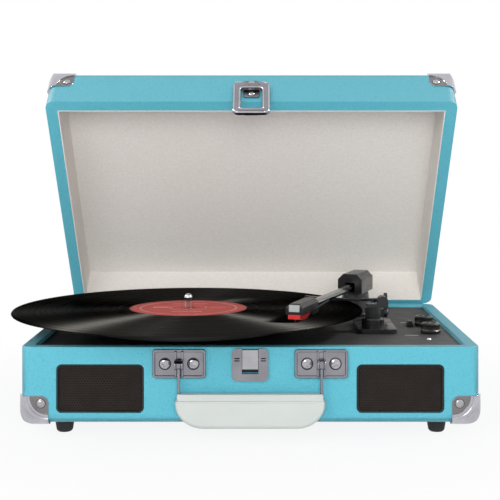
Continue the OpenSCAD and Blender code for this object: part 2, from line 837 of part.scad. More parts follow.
module hasp_loop() {
    eye_high = 4.5;
    eye_low = 5.5;
    notch_w = hasp_plate_w + 2 * pass_gap;
    low_z = hasp_z + hasp_top - hasp_l;
    lug_w = (hasp_w - notch_w) / 2 - 1;
    ridge_r = 1.1;
    tooth_w = lever_w - 1;
    tooth_h = 2.6;
    color("silver") on_lid() difference() {
        union() {
            difference() {
                translate([0, hasp_y + hasp_t / 2, low_z + hasp_l / 2])
                    front_plate(hasp_w, hasp_l, 5, hasp_t);
                translate([0, hasp_y + hasp_t, (low_z + eye_low + hasp_z - eye_high) / 2])
                    front_plate(hasp_eye_w, hasp_z - eye_high - low_z - eye_low, 3, 2 * hasp_t);
            }
            for (side = [-1, 1]) translate([side * (notch_w + lug_w) / 2, hasp_y, hasp_z])
                along_x(hasp_knuckle_r, lug_w);
            for (up = [1.6, 4.2]) translate([0, hasp_y - hasp_t / 2, low_z + up])
                along_x(ridge_r, hasp_w - 10);
            translate([-tooth_w / 2, hasp_y, slot_low + pass_gap])
                cube([tooth_w, catch_y - hasp_y, tooth_h]);
        }
        translate([-notch_w / 2, hasp_y - hasp_knuckle_r - cut, hasp_z - hasp_knuckle_r - pass_gap])
            cube([notch_w, 2 * hasp_knuckle_r + 2 * cut, hasp_l]);
        translate([0, hasp_y, hasp_z]) along_x(hasp_pin_r + shaft_play, hasp_w + cut);
    }
}

// Deck

module deck_plate() {
    well_r = platter_d / 2 + 5;
    well_deep = 0.8;
    color("black") difference() {
        translate([0, inner_y, deck_under])
            box_up(inner_w - 2 * seat_gap, inner_d - 2 * seat_gap, deck_t);
        translate([record_x, record_y, deck_z - well_deep]) difference() {
            cylinder(r = well_r, h = deck_t);
            translate([0, 0, -cut]) cylinder(r = bearing_r + 3, h = deck_t + 2 * cut);
        }
        translate([record_x, record_y, deck_under - cut])
            cylinder(r = bearing_tube_r + seat_gap, h = deck_t + 2 * cut);
        translate([motor_x, motor_y, deck_under - cut])
            cylinder(r = motor_boss_r + seat_gap, h = deck_t + 2 * cut);
        translate([pivot_x, pivot_y, deck_under - cut])
            cylinder(r = pedestal_tube_r + seat_gap, h = deck_t + 2 * cut);
        for (y = [volume_in_y, function_in_y]) translate([knob_x, front_y + y, deck_under - cut])
            cylinder(r = bush_r + seat_gap, h = deck_t + 2 * cut);
        translate([right_x - lamp_in_x, front_y + lamp_in_y, deck_under - cut])
            cylinder(r = lamp_r + seat_gap, h = deck_t + 2 * cut);
        translate([slider_x, slider_y, deck_under - cut])
            box_up(slider_stem_w + 2 * pass_gap, slider_slot_l, deck_t + 2 * cut);
    }
}

module deck_screws() {
    x = inner_w / 2 - ledge_w / 2;
    y = inner_d / 2 - ledge_w / 2;
    color("dimgray") translate([0, inner_y, deck_z]) {
        for (sx = [-1, 0, 1], sy = [-1, 1]) translate([sx * x, sy * y, 0]) dome(deck_screw_d, 1);
    }
}

// Platter and its drive

bearing_r = 12;
bearing_tube_r = 7;
motor_boss_r = 5;
hub_r = 11;
ring_t = 3;

module spindle_bearing() {
    color("goldenrod") translate([record_x, record_y, 0]) difference() {
        union() {
            translate([0, 0, deck_z]) cylinder(r = bearing_r, h = bearing_flange);
            translate([0, 0, deck_under - bearing_down])
                cylinder(r = bearing_tube_r, h = bearing_down + deck_t + cut);
        }
        translate([0, 0, deck_under - bearing_down - cut])
            cylinder(r = shaft_r + shaft_play, h = bearing_down + deck_t + bearing_flange + 2 * cut);
    }
}

module platter() {
    hub_low = deck_z + bearing_flange + pass_gap;
    under = platter_top - platter_t;
    ring_r = belt_ring_d / 2;
    edge = 1;
    color("dimgray") translate([record_x, record_y, 0]) rotate_extrude() polygon([
        [shaft_r + shaft_play, hub_low], [hub_r, hub_low], [hub_r, under],
        [ring_r - ring_t, under], [ring_r - ring_t, platter_z], [ring_r, platter_z], [ring_r, under],
        [platter_d / 2 - platter_t, under], [platter_d / 2 - platter_t, platter_z],
        [platter_d / 2, platter_z], [platter_d / 2, platter_top - edge],
        [platter_d / 2 - edge, platter_top], [shaft_r + shaft_play, platter_top]
    ]);
}

module slip_mat() {
    color("black") translate([record_x, record_y, platter_top]) difference() {
        cylinder(d = platter_d - 4, h = mat_t);
        translate([0, 0, -cut]) cylinder(r = shaft_r + shaft_play, h = mat_t + 2 * cut);
    }
}

// The shaft runs in the bearing and carries the platter, and its thinner end holds the record
module spindle() {
    shaft_low = deck_under - bearing_down - 2;
    shaft_top = platter_top + mat_t / 2;
    tip = record_top + spindle_up;
    neck_r = spindle_r - 0.25;
    color("silver") translate([record_x, record_y, 0]) union() {
        translate([0, 0, shaft_low]) cylinder(r = shaft_r, h = shaft_top - shaft_low);
        translate([0, 0, shaft_low]) cylinder(r = neck_r, h = record_top + shaft_play - shaft_low + eps);
        translate([0, 0, record_top + shaft_play])
            cylinder(r = spindle_r, h = tip - spindle_r - record_top - shaft_play);
        translate([0, 0, tip - spindle_r]) sphere(spindle_r);
    }
}

module record() {
    groove_t = 0.2;
    edge = 4;
    r = record_d / 2;
    label_r = label_d / 2;
    hole = spindle_r + shaft_play;
    color("black") translate([record_x, record_y, mat_top]) rotate_extrude() polygon([
        [hole, 0], [r - 0.6, 0], [r, record_t / 2], [r - 0.6, record_t],
        [r - edge, record_t - groove_t], [label_r + 8, record_t - groove_t], [label_r + 6, record_t],
        [label_r + shaft_play, record_t], [label_r + shaft_play, record_t - label_t],
        [hole, record_t - label_t]
    ]);
}

module record_label() {
    color("firebrick") translate([record_x, record_y, record_top - label_t]) difference() {
        cylinder(d = label_d, h = label_t);
        translate([0, 0, -cut]) cylinder(r = spindle_r + shaft_play, h = label_t + 2 * cut);
    }
}

module motor() {
    color("gray") translate([motor_x, motor_y, 0]) difference() {
        union() {
            translate([0, 0, deck_under - motor_h]) cylinder(d = motor_d, h = motor_h);
            translate([0, 0, deck_under - cut]) cylinder(r = motor_boss_r, h = deck_t + cut);
        }
        translate([0, 0, deck_under - motor_h / 2])
            cylinder(r = motor_shaft_r + shaft_play, h = motor_h + deck_t);
    }
}

module motor_pulley() {
    r = pulley_d / 2;
    low = deck_z + pass_gap;
    groove_low = belt_z - 0.6;
    groove_high = belt_z + belt_h + 0.6;
    shaft_low = deck_under - motor_h / 2 + cut;
    color("goldenrod") translate([motor_x, motor_y, 0]) union() {
        translate([0, 0, shaft_low]) cylinder(r = motor_shaft_r, h = groove_high - shaft_low);
        rotate_extrude() polygon([
            [0, low], [r + pulley_flange, low], [r + pulley_flange, groove_low - 0.6], [r, groove_low],
            [r, groove_high], [r + pulley_flange, groove_high + 0.6], [r + pulley_flange, groove_high + 1.4],
            [0, groove_high + 1.4]
        ]);
    }
}

// Outline of the belt around the platter's ring and the pulley
module belt_outline(grow) {
    hull() {
        circle(belt_ring_d / 2 + grow, $fn = 96);
        translate([motor_reach, 0]) circle(pulley_d / 2 + grow, $fn = 32);
    }
}

module drive_belt() {
    color("black") translate([record_x, record_y, belt_z]) rotate([0, 0, motor_angle])
        linear_extrude(belt_h) difference() {
            belt_outline(belt_gap + belt_t);
            belt_outline(belt_gap);
        }
}

// Tone arm

pedestal_tube_r = 9;

module arm_pedestal() {
    top = yoke_z - pass_gap;
    flange = 3;
    color("black") translate([pivot_x, pivot_y, 0]) difference() {
        union() {
            translate([0, 0, deck_z]) cylinder(r = pedestal_r + 7, h = flange);
            translate([0, 0, deck_z]) cylinder(r1 = pedestal_r + 3, r2 = pedestal_r, h = top - deck_z);
            translate([0, 0, deck_under - 8]) cylinder(r = pedestal_tube_r, h = deck_t + 8 + cut);
        }
        translate([0, 0, deck_under - 8 - cut]) cylinder(r = stem_r + shaft_play, h = top);
    }
}

// The housing turns on its stem; its cross pin carries the arm, whose tube leaves by a mouth in front
module arm_yoke() {
    slot_w = yoke_w - 9;
    chamfer = 5;
    front_t = 3;
    mouth_w = 2 * (tube_r + yoke_play);
    top = arm_z + yoke_up;
    color("dimgray") on_arm() union() {
        difference() {
            translate([0, yoke_l / 2, 0]) rotate([90, 0, 0]) linear_extrude(yoke_l) polygon([
                [-yoke_w / 2, yoke_z], [yoke_w / 2, yoke_z], [yoke_w / 2, top - chamfer],
                [yoke_w / 2 - chamfer, top], [chamfer - yoke_w / 2, top], [-yoke_w / 2, top - chamfer]
            ]);
            translate([-slot_w / 2, front_t - yoke_l / 2, yoke_z + yoke_floor])
                cube([slot_w, yoke_l / 2 + 12 - front_t, arm_z + tube_r + 3 - yoke_z - yoke_floor]);
            translate([-mouth_w / 2, -yoke_l / 2 - cut, yoke_z + yoke_floor])
                cube([mouth_w, front_t + 2 * cut, arm_z + tube_r + yoke_play - yoke_z - yoke_floor]);
        }
        translate([0, 0, arm_z]) along_x(arm_pin_r, slot_w + 2);
        translate([0, 0, yoke_z - stem_l]) cylinder(r = stem_r, h = stem_l + cut);
    }
}

module tone_arm() {
    barrel_w = yoke_w - 9 - 2 * pass_gap;
    barrel_r = tube_r + 0.3;
    tail = 8;
    tube_l = arm_l - head_l + tube_in + tail;
    color("silver") on_arm() translate([0, 0, arm_z]) difference() {
        union() {
            translate([0, tail, 0]) rotate([90, 0, 0]) cylinder(r = tube_r, h = tube_l);
            along_x(barrel_r, barrel_w);
        }
        along_x(arm_pin_r + shaft_play, barrel_w + cut);
    }
}

cart_w = 9;
cart_l = 26;
cart_h = 5.5;
head_wall = 1;
head_bevel = 3;
head_front = arm_l + 3;
head_back = arm_l - head_l;
tube_in = 6;
stylus_h = 5;
stylus_l = 28;
stylus_w = cart_w + 1;
stylus_low = record_top + 0.7;
stylus_top = stylus_low + stylus_h;
cart_z = stylus_top + 2.2;

// Extrudes a side view, drawn as distance ahead of the pivot and height, to a width across the arm
module across_arm(w) {
    translate([w / 2, 0, 0]) rotate([90, 0, -90]) linear_extrude(w) children();
}

// A bevelled shell around the end of the tube, open below and in front for the cartridge
module head_shell() {
    top = cart_z + cart_h + head_wall;
    low = record_top + 2.6;
    heel = head_front - stylus_l - 2 * pass_gap;
    rod_r = 1;
    rod_l = 15;
    color("black") on_arm() difference() {
        union() {
            intersection() {
                across_arm(head_w) polygon([
                    [head_front, stylus_top], [head_front, top - head_bevel], [head_front - head_bevel, top],
                    [head_back, top], [head_back, low + head_wall], [head_back + head_wall, low],
                    [heel, low], [heel, stylus_top]
                ]);
                translate([0, cut - head_back, 0]) rotate([90, 0, 0])
                    linear_extrude(head_front - head_back + 2 * cut) polygon([
                        [-head_w / 2, low], [head_w / 2, low], [head_w / 2, top - head_bevel],
                        [head_w / 2 - head_bevel, top], [head_bevel - head_w / 2, top],
                        [-head_w / 2, top - head_bevel]
                    ]);
            }
            translate([head_w / 2 - rod_r, -head_back - head_l / 4, stylus_top]) rotate([0, 60, 30])
                cylinder(r = rod_r, h = rod_l);
        }
        translate([0, cut - head_back, arm_z]) rotate([90, 0, 0])
            cylinder(r = tube_r + shaft_play, h = tube_in + cut);
        translate([-cart_w / 2 - shaft_play, -head_front - cut, cart_z])
            cube([cart_w + 2 * shaft_play, cart_l + cut + shaft_play, cart_h]);
    }
}

module cartridge() {
    color("lightgray") on_arm() union() {
        translate([-cart_w / 2, -head_front, cart_z]) cube([cart_w, cart_l, cart_h]);
    }
}

// The stylus: a red clip under the cartridge, a cantilever and a tip just clear of the groove
module stylus() {
    nose_up = 1.5;
    nose_l = 4;
    sole_up = 0.4;
    heel_l = 8;
    heel_h = 2;
    tip_r = 0.2;
    root_r = 1;
    color("red") on_arm() union() {
        across_arm(stylus_w) polygon([
            [head_front, stylus_top], [head_front, stylus_low + nose_up],
            [head_front - nose_l, stylus_low + sole_up],
            [head_front - stylus_l + heel_l, stylus_low + sole_up],
            [head_front - stylus_l, stylus_top - heel_h], [head_front - stylus_l, stylus_top]
        ]);
        translate([0, -arm_l, record_top + pass_gap])
            cylinder(r1 = tip_r, r2 = root_r, h = stylus_low + nose_up - record_top - pass_gap, $fn = 32);
    }
}

// The rest: a ribbed column with a cradle whose right side stops the arm
module arm_rest() {
    collar_h = 8;
    collar_r = 9.8;
    low = deck_z + cue_plate_t;
    rib_count = 18;
    stop_x = tube_r + 2 * pass_gap;
    stop_t = 9;
    stop_h = 2.2;
    cradle_t = 3;
    cradle_d = 10;
    cradle_x = 1.5 - rest_d / 2;
    rim_bevel = 1;
    groove_r = 0.7;
    groove_out = 0.2;
    color("dimgray") translate([rest_x, rest_y, 0]) union() {
        difference() {
            translate([0, 0, low]) cylinder(d = rest_d, h = arm_under - cradle_t - low + eps);
            for (i = [0 : rib_count - 1]) rotate([0, 0, i * 360 / rib_count])
                translate([rest_d / 2 + groove_out, 0, low + collar_h]) cylinder(r = groove_r, h = base_h);
        }
        translate([0, 0, low]) cylinder(r = collar_r, h = collar_h - rim_bevel);
        translate([0, 0, low + collar_h - rim_bevel])
            cylinder(r1 = collar_r, r2 = collar_r - rim_bevel, h = rim_bevel);
        translate([cradle_x, -cradle_d / 2, arm_under - cradle_t])
            cube([stop_x + stop_t - cradle_x, cradle_d, cradle_t]);
        translate([stop_x, -cradle_d / 2, arm_under - cut]) cube([stop_t, cradle_d, stop_h + cut]);
        translate([stop_x + stop_t / 2, 0, arm_under + stop_h]) rotate([90, 0, 0])
            cylinder(d = stop_t, h = cradle_d, center = true);
    }
}

// The cue base carries the rest, guides the lift's post and holds the lever's pin
module cue_base() {
    left_margin = 13;
    right_margin = 5;
    end_margin = 14.5;
    left = rest_x - left_margin;
    right = cue_x + right_margin;
    front = rest_y - end_margin;
    back = lift_y + end_margin;
    corner = 4;
    guide_wall = 2.4;
    guide_top = arm_under - lift_bar_t - pass_gap;
    guide_r = lift_post_r + guide_wall;
    block_d = 8;
    block_top = cue_pivot_z + block_d / 2;
    pin_root = 1;
    pin_end = 1.6;
    guide_floor = 2;
    block_x = cue_x - cue_t / 2 - pass_gap;
    color("black") difference() {
        union() {
            translate([(left + right) / 2, (front + back) / 2, deck_z]) linear_extrude(cue_plate_t)
                rounded_rect(right - left, back - front, corner);
            translate([lift_x, lift_y, deck_z]) cylinder(r = guide_r, h = guide_top - deck_z);
            translate([lift_x, lift_y - block_d / 2, deck_z])
                cube([block_x - lift_x, block_d, block_top - deck_z]);
            translate([block_x - pin_root, lift_y, cue_pivot_z]) rotate([0, 90, 0])
                cylinder(r = cue_pin_r, h = cue_t + 2 * pass_gap + pin_end);
        }
        translate([lift_x, lift_y, deck_z + guide_floor]) cylinder(r = lift_post_r + shaft_play, h = base_h);
    }
}

module lift_bar() {
    post_l = 10;
    spread = inner_yaw + 4 + lift_yaw;
    color("gray") union() {
        translate([pivot_x, pivot_y, arm_under - lift_bar_t]) rotate([0, 0, 270 - inner_yaw - 4])
            rotate_extrude(angle = spread) translate([lift_r - lift_bar_w / 2, 0])
                square([lift_bar_w, lift_bar_t]);
        translate([lift_x, lift_y, arm_under - lift_bar_t]) cylinder(r = lift_bar_w / 2 + 1, h = lift_bar_t);
        translate([lift_x, lift_y, arm_under - lift_bar_t - post_l])
            cylinder(r = lift_post_r, h = post_l + eps);
    }
}

module cue_lever() {
    hub_r = 4;
    color("black") translate([cue_x, lift_y, cue_pivot_z]) difference() {
        union() {
            along_x(hub_r, cue_t);
            translate([-cue_t / 2, -2.5, 0]) cube([cue_t, 5, cue_h - 2.5]);
            translate([0, 0, cue_h - 2.5]) along_x(2.5, cue_t);
        }
        along_x(cue_pin_r + shaft_play, cue_t + cut);
    }
}

// Controls

bush_r = 4.5;
lamp_r = 2;
slider_stem_w = 2.6;
slider_stem_l = 3;
slider_slot_l = slider_travel + slider_stem_l + 2 * pass_gap;

// A turned control under the deck, with a bush that the knob's shaft runs in
module control_body(y) {
    translate([knob_x, front_y + y, 0]) difference() {
        union() {
            translate([0, 0, deck_under - control_depth]) cylinder(d = control_d, h = control_depth);
            translate([0, 0, deck_under - cut]) cylinder(r = bush_r, h = deck_t + cut);
        }
        translate([0, 0, deck_under - control_depth + 2])
            cylinder(r = control_shaft_r + shaft_play, h = control_depth + deck_t);
    }
}

module volume_control() {
    color("darkgray") control_body(volume_in_y);
}

module function_switch() {
    color("darkgray") control_body(function_in_y);
}

module knob(y) {
    low = deck_z + knob_lift;
    edge = 1.2;
    skirt = 0.6;
    shaft_l = control_depth + deck_t + knob_lift - 3;
    color("dimgray") translate([knob_x, front_y + y, 0]) difference() {
        union() {
            rotate_extrude() polygon([
                [0, low], [knob_d / 2, low], [knob_d / 2, low + 1.5], [knob_d / 2 - skirt, low + 2.2],
                [knob_d / 2 - skirt, low + knob_h - edge], [knob_d / 2 - skirt - edge, low + knob_h],
                [knob_d / 2 - 3.4, low + knob_h], [knob_d / 2 - 4, low + knob_h - 0.5],
                [0, low + knob_h - 0.5]
            ]);
            translate([0, 0, low - shaft_l]) cylinder(r = control_shaft_r, h = shaft_l + eps);
        }
        translate([-0.5, knob_d / 4, low + knob_h - 1]) cube([1, knob_d / 4, 2]);
    }
}

module volume_knob() {
    knob(volume_in_y);
}

module function_knob() {
    knob(function_in_y);
}

module speed_switch() {
    body_h = 8;
    color("darkgray") translate([slider_x, slider_y, deck_under - body_h]) difference() {
        box_up(9, slider_slot_l + 6, body_h);
        translate([0, 0, 2]) box_up(slider_stem_w + 2 * pass_gap, slider_slot_l, body_h);
    }
}

module speed_slider() {
    cap_w = 6;
    cap_l = 7;
    cap_h = 5;
    stem = deck_t + 5;
    color("black") translate([slider_x, slider_y, deck_z + pass_gap]) union() {
        translate([0, cap_l / 2, 0]) rotate([90, 0, 0]) linear_extrude(cap_l) polygon([
            [-cap_w / 2, 0], [cap_w / 2, 0], [cap_w / 2, 1.5], [cap_w / 4, cap_h], [-cap_w / 4, cap_h],
            [-cap_w / 2, 1.5]
        ]);
        translate([0, 0, -stem]) box_up(slider_stem_w, slider_stem_l, stem + eps);
    }
}

module power_lamp() {
    color("red") translate([right_x - lamp_in_x, front_y + lamp_in_y, 0]) union() {
        translate([0, 0, deck_under - 4]) cylinder(r = lamp_r + 1, h = 4);
        translate([0, 0, deck_under - cut]) cylinder(r = lamp_r, h = deck_t + cut);
        translate([0, 0, deck_z]) dome(2 * lamp_r, 1.2);
    }
}

// Electronics and sockets

module circuit_board() {
    board_w = 90;
    board_d = 60;
    board_t = 1.6;
    board_right = 20;
    board_back = 36;
    board_y = back_y - back_wall - board_back - board_d / 2;
    post_d = 6;
    post_h = 6;
    post_in = 4;
    top = post_h + board_t - eps;
    can_d = 10;
    can_h = 14;
    sink = [24, 8, 14];
    chip = [20, 10, 3];
    color("seagreen") translate([jack_x + board_right, board_y, floor_z]) union() {
        translate([0, 0, post_h]) box_up(board_w, board_d, board_t);
        for (sx = [-1, 1], sy = [-1, 1])
            translate([sx * (board_w / 2 - post_in), sy * (board_d / 2 - post_in), 0])
                cylinder(d = post_d, h = post_h + eps);
        for (i = [0 : 2]) translate([i * can_d * 1.3 - board_w / 3, board_d / 4, top])
            cylinder(d = can_d, h = can_h);
        translate([board_w / 6, -board_d / 8, top]) box_up(sink.x, sink.y, sink.z);
        translate([-board_w / 5, -board_d / 6, top]) box_up(chip.x, chip.y, chip.z);
    }
}

phono_at = [-22, -7];
aux_at = 8;
power_at = 21;
socket_neck_r = 3.4;

module jack_plate() {
    color("black") translate([jack_x, back_y, jack_z]) difference() {
        front_plate(jack_w - seat_gap, jack_h - seat_gap, 2, jack_t);
        for (x = [each phono_at, aux_at, power_at])
            translate([x, -jack_t - cut, 0]) to_back(socket_neck_r + shaft_play, jack_t + 2 * cut);
    }
}

// Turns a socket's profile so that its axis runs to the back, with z = 0 at the plate's face
module socket_axis(x) {
    translate([jack_x + x, back_y, jack_z]) rotate([-90, 0, 0]) rotate_extrude() children();
}

module phono_sockets() {
    r = phono_d / 2;
    barrel = 8;
    nut = 1.5;
    color("gold") for (x = phono_at) socket_axis(x) polygon([
        [0, -jack_t - 11], [5, -jack_t - 11], [5, -jack_t], [socket_neck_r, -jack_t], [socket_neck_r, 0],
        [6, 0], [6, nut], [r, nut], [r, nut + barrel], [1.6, nut + barrel], [1.6, 0], [0, 0]
    ]);
}

module aux_socket() {
    r = aux_d / 2;
    nut = 2;
    deep = 14;
    color("silver") socket_axis(aux_at) polygon([
        [0, -jack_t - 13], [6, -jack_t - 13], [6, -jack_t], [socket_neck_r, -jack_t], [socket_neck_r, 0],
        [4.8, 0], [4.8, nut], [r, nut], [r, nut - deep], [0, nut - deep]
    ]);
}

module power_inlet() {
    r = power_d / 2;
    nut = 2;
    deep = 10;
    color("dimgray") socket_axis(power_at) polygon([
        [0, -jack_t - 12], [5.6, -jack_t - 12], [5.6, -jack_t], [socket_neck_r, -jack_t], [socket_neck_r, 0],
        [5.6, 0], [5.6, nut], [r, nut], [r, nut - deep], [1, nut - deep], [1, 0], [0, 0.6]
    ]);
}

placed() base_shell();
placed() base_corners();
placed() base_rivets();
placed() feet();
placed() deck_plate();
placed() deck_screws();
placed() grille(-1);  // grille_left
placed() grille(1);  // grille_right
placed() speaker(-1);  // speaker_left
placed() speaker(1);  // speaker_right
placed() cone(-1);  // cone_left
placed() cone(1);  // cone_right
placed() bracket(-1);  // bracket_left
placed() bracket(1);  // bracket_right
placed() case_screws();
placed() catch_plate();
placed() base_hinge_leaves();
placed() hinge_pins();
placed() motor();
placed() spindle_bearing();
placed() drive_belt();
placed() circuit_board();
placed() jack_plate();
placed() phono_sockets();
placed() aux_socket();
placed() power_inlet();
placed() arm_pedestal();
placed() arm_rest();
placed() cue_base();
placed() volume_control();
placed() function_switch();
placed() speed_switch();
placed() power_lamp();
placed() lid_shell();
placed() lid_lining();
placed() lid_corners();
placed() lid_rivets();
placed() lid_hinge_leaves();
placed() lid_screws();
placed() hasp_plate();
placed() hasp_loop();
placed() catch_lever();
placed() handle_grip();
placed() handle_bails();
placed() platter();
placed() slip_mat();
placed() spindle();
placed() record();
placed() record_label();
placed() motor_pulley();
placed() arm_yoke();
placed() tone_arm();
placed() head_shell();
placed() cartridge();
placed() stylus();
placed() cue_lever();
placed() lift_bar();
placed() volume_knob();
placed() function_knob();
placed() speed_slider();
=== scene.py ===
"""Looks of a suitcase record player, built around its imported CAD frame. Metres, Z up."""

import json
import math

import bmesh
import bpy
from mathutils import Matrix, Vector


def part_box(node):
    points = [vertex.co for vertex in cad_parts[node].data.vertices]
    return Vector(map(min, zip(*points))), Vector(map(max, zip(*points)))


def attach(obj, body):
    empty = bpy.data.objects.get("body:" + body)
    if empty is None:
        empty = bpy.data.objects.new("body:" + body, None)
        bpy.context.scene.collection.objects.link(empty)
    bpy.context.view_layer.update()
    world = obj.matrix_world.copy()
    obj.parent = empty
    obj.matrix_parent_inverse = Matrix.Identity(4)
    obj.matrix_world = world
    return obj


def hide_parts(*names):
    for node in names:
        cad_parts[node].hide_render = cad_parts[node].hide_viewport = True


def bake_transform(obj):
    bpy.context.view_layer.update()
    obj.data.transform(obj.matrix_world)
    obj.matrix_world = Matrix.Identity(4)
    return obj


MM = 0.001
WELD = 0.001 * MM

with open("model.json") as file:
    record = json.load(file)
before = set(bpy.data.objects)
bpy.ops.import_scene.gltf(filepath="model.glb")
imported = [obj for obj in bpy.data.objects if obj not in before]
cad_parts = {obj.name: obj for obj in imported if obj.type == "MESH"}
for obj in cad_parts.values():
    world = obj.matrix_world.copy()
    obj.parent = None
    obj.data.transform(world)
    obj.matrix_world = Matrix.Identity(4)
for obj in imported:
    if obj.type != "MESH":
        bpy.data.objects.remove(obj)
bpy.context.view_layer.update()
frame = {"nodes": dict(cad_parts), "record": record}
nodes = frame["nodes"]
behaviour = frame["record"]["behaviour"]
scene = bpy.context.scene

SLOT_OF = {entry["node"]: entry["material_slot"] for entry in frame["record"]["subparts"]}
BODY_OF = {name: body for body, names in behaviour["bodies"].items() for name in names}
JOINTS = {joint["name"]: joint for joint in behaviour["joints"]}


def middle(node):
    """The middle of a CAD node's box, in metres."""
    low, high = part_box(node)
    return tuple((a + b) / 2 for a, b in zip(low, high))


def size(node):
    """The sides of a CAD node's box, in millimetres."""
    low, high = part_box(node)
    return tuple((b - a) / MM for a, b in zip(low, high))


# Colours and materials

# Most values of a noise texture lie between these
NOISE_LOW, NOISE_HIGH = 0.3, 0.7


def srgb(red, green, blue):
    """A colour as it reads on screen, 0 to 255, turned into the linear values that shaders use."""
    def linear(value):
        value /= 255
        return value / 12.92 if value <= 0.04045 else ((value + 0.055) / 1.055) ** 2.4
    return (linear(red), linear(green), linear(blue), 1.0)


def shade(color, factor):
    return tuple(min(1.0, channel * factor) for channel in color[:3]) + (1.0,)


class Finish:
    """A procedural material, with short ways to add the nodes it needs."""

    def __init__(self, name, color, roughness=0.5, metallic=0.0, **sockets):
        self.color = color
        self.roughness = roughness
        self.material = bpy.data.materials.new(name)
        self.material.use_nodes = True
        self.tree = self.material.node_tree
        self.shader = self.tree.nodes["Principled BSDF"]
        self.shader.inputs["Base Color"].default_value = color
        self.shader.inputs["Roughness"].default_value = roughness
        self.shader.inputs["Metallic"].default_value = metallic
        for socket, value in sockets.items():
            self.shader.inputs[socket.replace("_", " ")].default_value = value
        self.place = self.add("ShaderNodeTexCoord").outputs["Object"]

    def add(self, kind, **settings):
        node = self.tree.nodes.new(kind)
        for key, value in settings.items():
            setattr(node, key, value)
        return node

    def join(self, source, target):
        self.tree.links.new(source, target)

    def stretched(self, x, y, z):
        """The object's coordinates, stretched so that a texture runs along one direction."""
        mapping = self.add("ShaderNodeMapping")
        mapping.inputs["Scale"].default_value = (x, y, z)
        self.join(self.place, mapping.inputs["Vector"])
        return mapping.outputs["Vector"]

    def length(self, vector):
        node = self.add("ShaderNodeVectorMath", operation="LENGTH")
        self.join(vector, node.inputs[0])
        return node.outputs["Value"]

    def from_axis(self):
        """The distance from the object's upright axis, in metres."""
        return self.length(self.stretched(1, 1, 0))

    def noise(self, size, detail=3.0, place=None):
        """Noise whose blobs are about this size, in metres."""
        node = self.add("ShaderNodeTexNoise")
        node.inputs["Scale"].default_value = 1 / size
        node.inputs["Detail"].default_value = detail
        self.join(place or self.place, node.inputs["Vector"])
        return node.outputs["Fac"]

    def cells(self, size, feature="DISTANCE_TO_EDGE"):
        """Cells of about this size, in metres."""
        node = self.add("ShaderNodeTexVoronoi", feature=feature)
        node.inputs["Scale"].default_value = 1 / size
        self.join(self.place, node.inputs["Vector"])
        return node.outputs["Distance"]

    def remap(self, value, low, high, to_low, to_high):
        node = self.add("ShaderNodeMapRange")
        ends = {"From Min": low, "From Max": high, "To Min": to_low, "To Max": to_high}
        for name, number in ends.items():
            node.inputs[name].default_value = number
        self.join(value, node.inputs["Value"])
        return node.outputs["Result"]

    def math(self, operation, first, second):
        node = self.add("ShaderNodeMath", operation=operation)
        for socket, value in zip(node.inputs, (first, second)):
            if isinstance(value, (int, float)):
                socket.default_value = value
            else:
                self.join(value, socket)
        return node.outputs["Value"]

    def ramp(self, value, stops, interpolation="LINEAR"):
        node = self.add("ShaderNodeValToRGB")
        node.color_ramp.interpolation = interpolation
        elements = node.color_ramp.elements
        while len(elements) < len(stops):
            elements.new(1.0)
        for element, (position, color) in zip(elements, stops):
            element.position = position
            element.color = color
        self.join(value, node.inputs["Fac"])
        return node.outputs["Color"]

    def vary_color(self, value, dark, light):
        """Lets the base colour drift between a darker and a lighter tone."""
        tones = [(NOISE_LOW, shade(self.color, dark)), (NOISE_HIGH, shade(self.color, light))]
        self.join(self.ramp(value, tones), self.shader.inputs["Base Color"])

    def vary_roughness(self, value, spread):
        low, high = self.roughness - spread, self.roughness + spread
        result = self.remap(value, NOISE_LOW, NOISE_HIGH, low, high)
        self.join(result, self.shader.inputs["Roughness"])

    def bump(self, height, depth, strength=1.0):
        """Raises the surface by height, in metres of relief."""
        node = self.add("ShaderNodeBump")
        node.inputs["Strength"].default_value = strength
        node.inputs["Distance"].default_value = depth
        self.join(height, node.inputs["Height"])
        self.join(node.outputs["Normal"], self.shader.inputs["Normal"])


def leatherette(name, color):
    """Embossed leatherette: rounded grains about two millimetres across, with finer pores."""
    finish = Finish(name, color, roughness=0.52)
    grain = finish.remap(finish.cells(1.9 * MM), 0.0, 0.35, 0.0, 1.0)
    pores = finish.noise(0.5 * MM, 2)
    finish.bump(finish.math("ADD", grain, pores), 0.2 * MM, 0.8)
    finish.vary_color(finish.math("ADD", grain, finish.noise(2.2 * MM, 3)), 0.84, 1.06)
    finish.vary_roughness(finish.noise(3 * MM), 0.07)
    return finish.material


def lining_paper(name, color):
    """Fine textured paper with a faint mottle."""
    finish = Finish(name, color, roughness=0.85)
    finish.vary_color(finish.noise(2.2 * MM, 6), 0.95, 1.04)
    finish.bump(finish.noise(0.8 * MM, 4), 0.06 * MM, 0.6)
    return finish.material


def plated(name, color, roughness, spread=0.06):
    """Plated metal with faint smudges and pressing marks."""
    finish = Finish(name, color, roughness, metallic=1.0)
    finish.vary_roughness(finish.noise(6 * MM, 4), spread)
    finish.vary_color(finish.noise(11 * MM, 4), 0.88, 1.08)
    finish.bump(finish.noise(2.5 * MM, 2), 0.02 * MM, 0.5)
    return finish.material


def brushed(name, color, roughness, along=(1, 1, 14)):
    """Metal with fine lines that run across the stretched direction."""
    finish = Finish(name, color, roughness, metallic=1.0)
    lines = finish.noise(1.5 * MM, 3, finish.stretched(*along))
    finish.vary_roughness(lines, 0.08)
    finish.vary_color(lines, 0.88, 1.08)
    return finish.material


def moulded(name, color, roughness, relief=0.03, cloud=0.1):
    """Moulded plastic with a fine eggshell texture; relief is in millimetres."""
    finish = Finish(name, color, roughness)
    finish.bump(finish.noise(0.45 * MM, 2), relief * MM, 0.5)
    finish.vary_roughness(finish.noise(14 * MM, 3), 0.06)
    finish.vary_color(finish.noise(20 * MM, 3), 1 - cloud, 1 + cloud)
    return finish.material


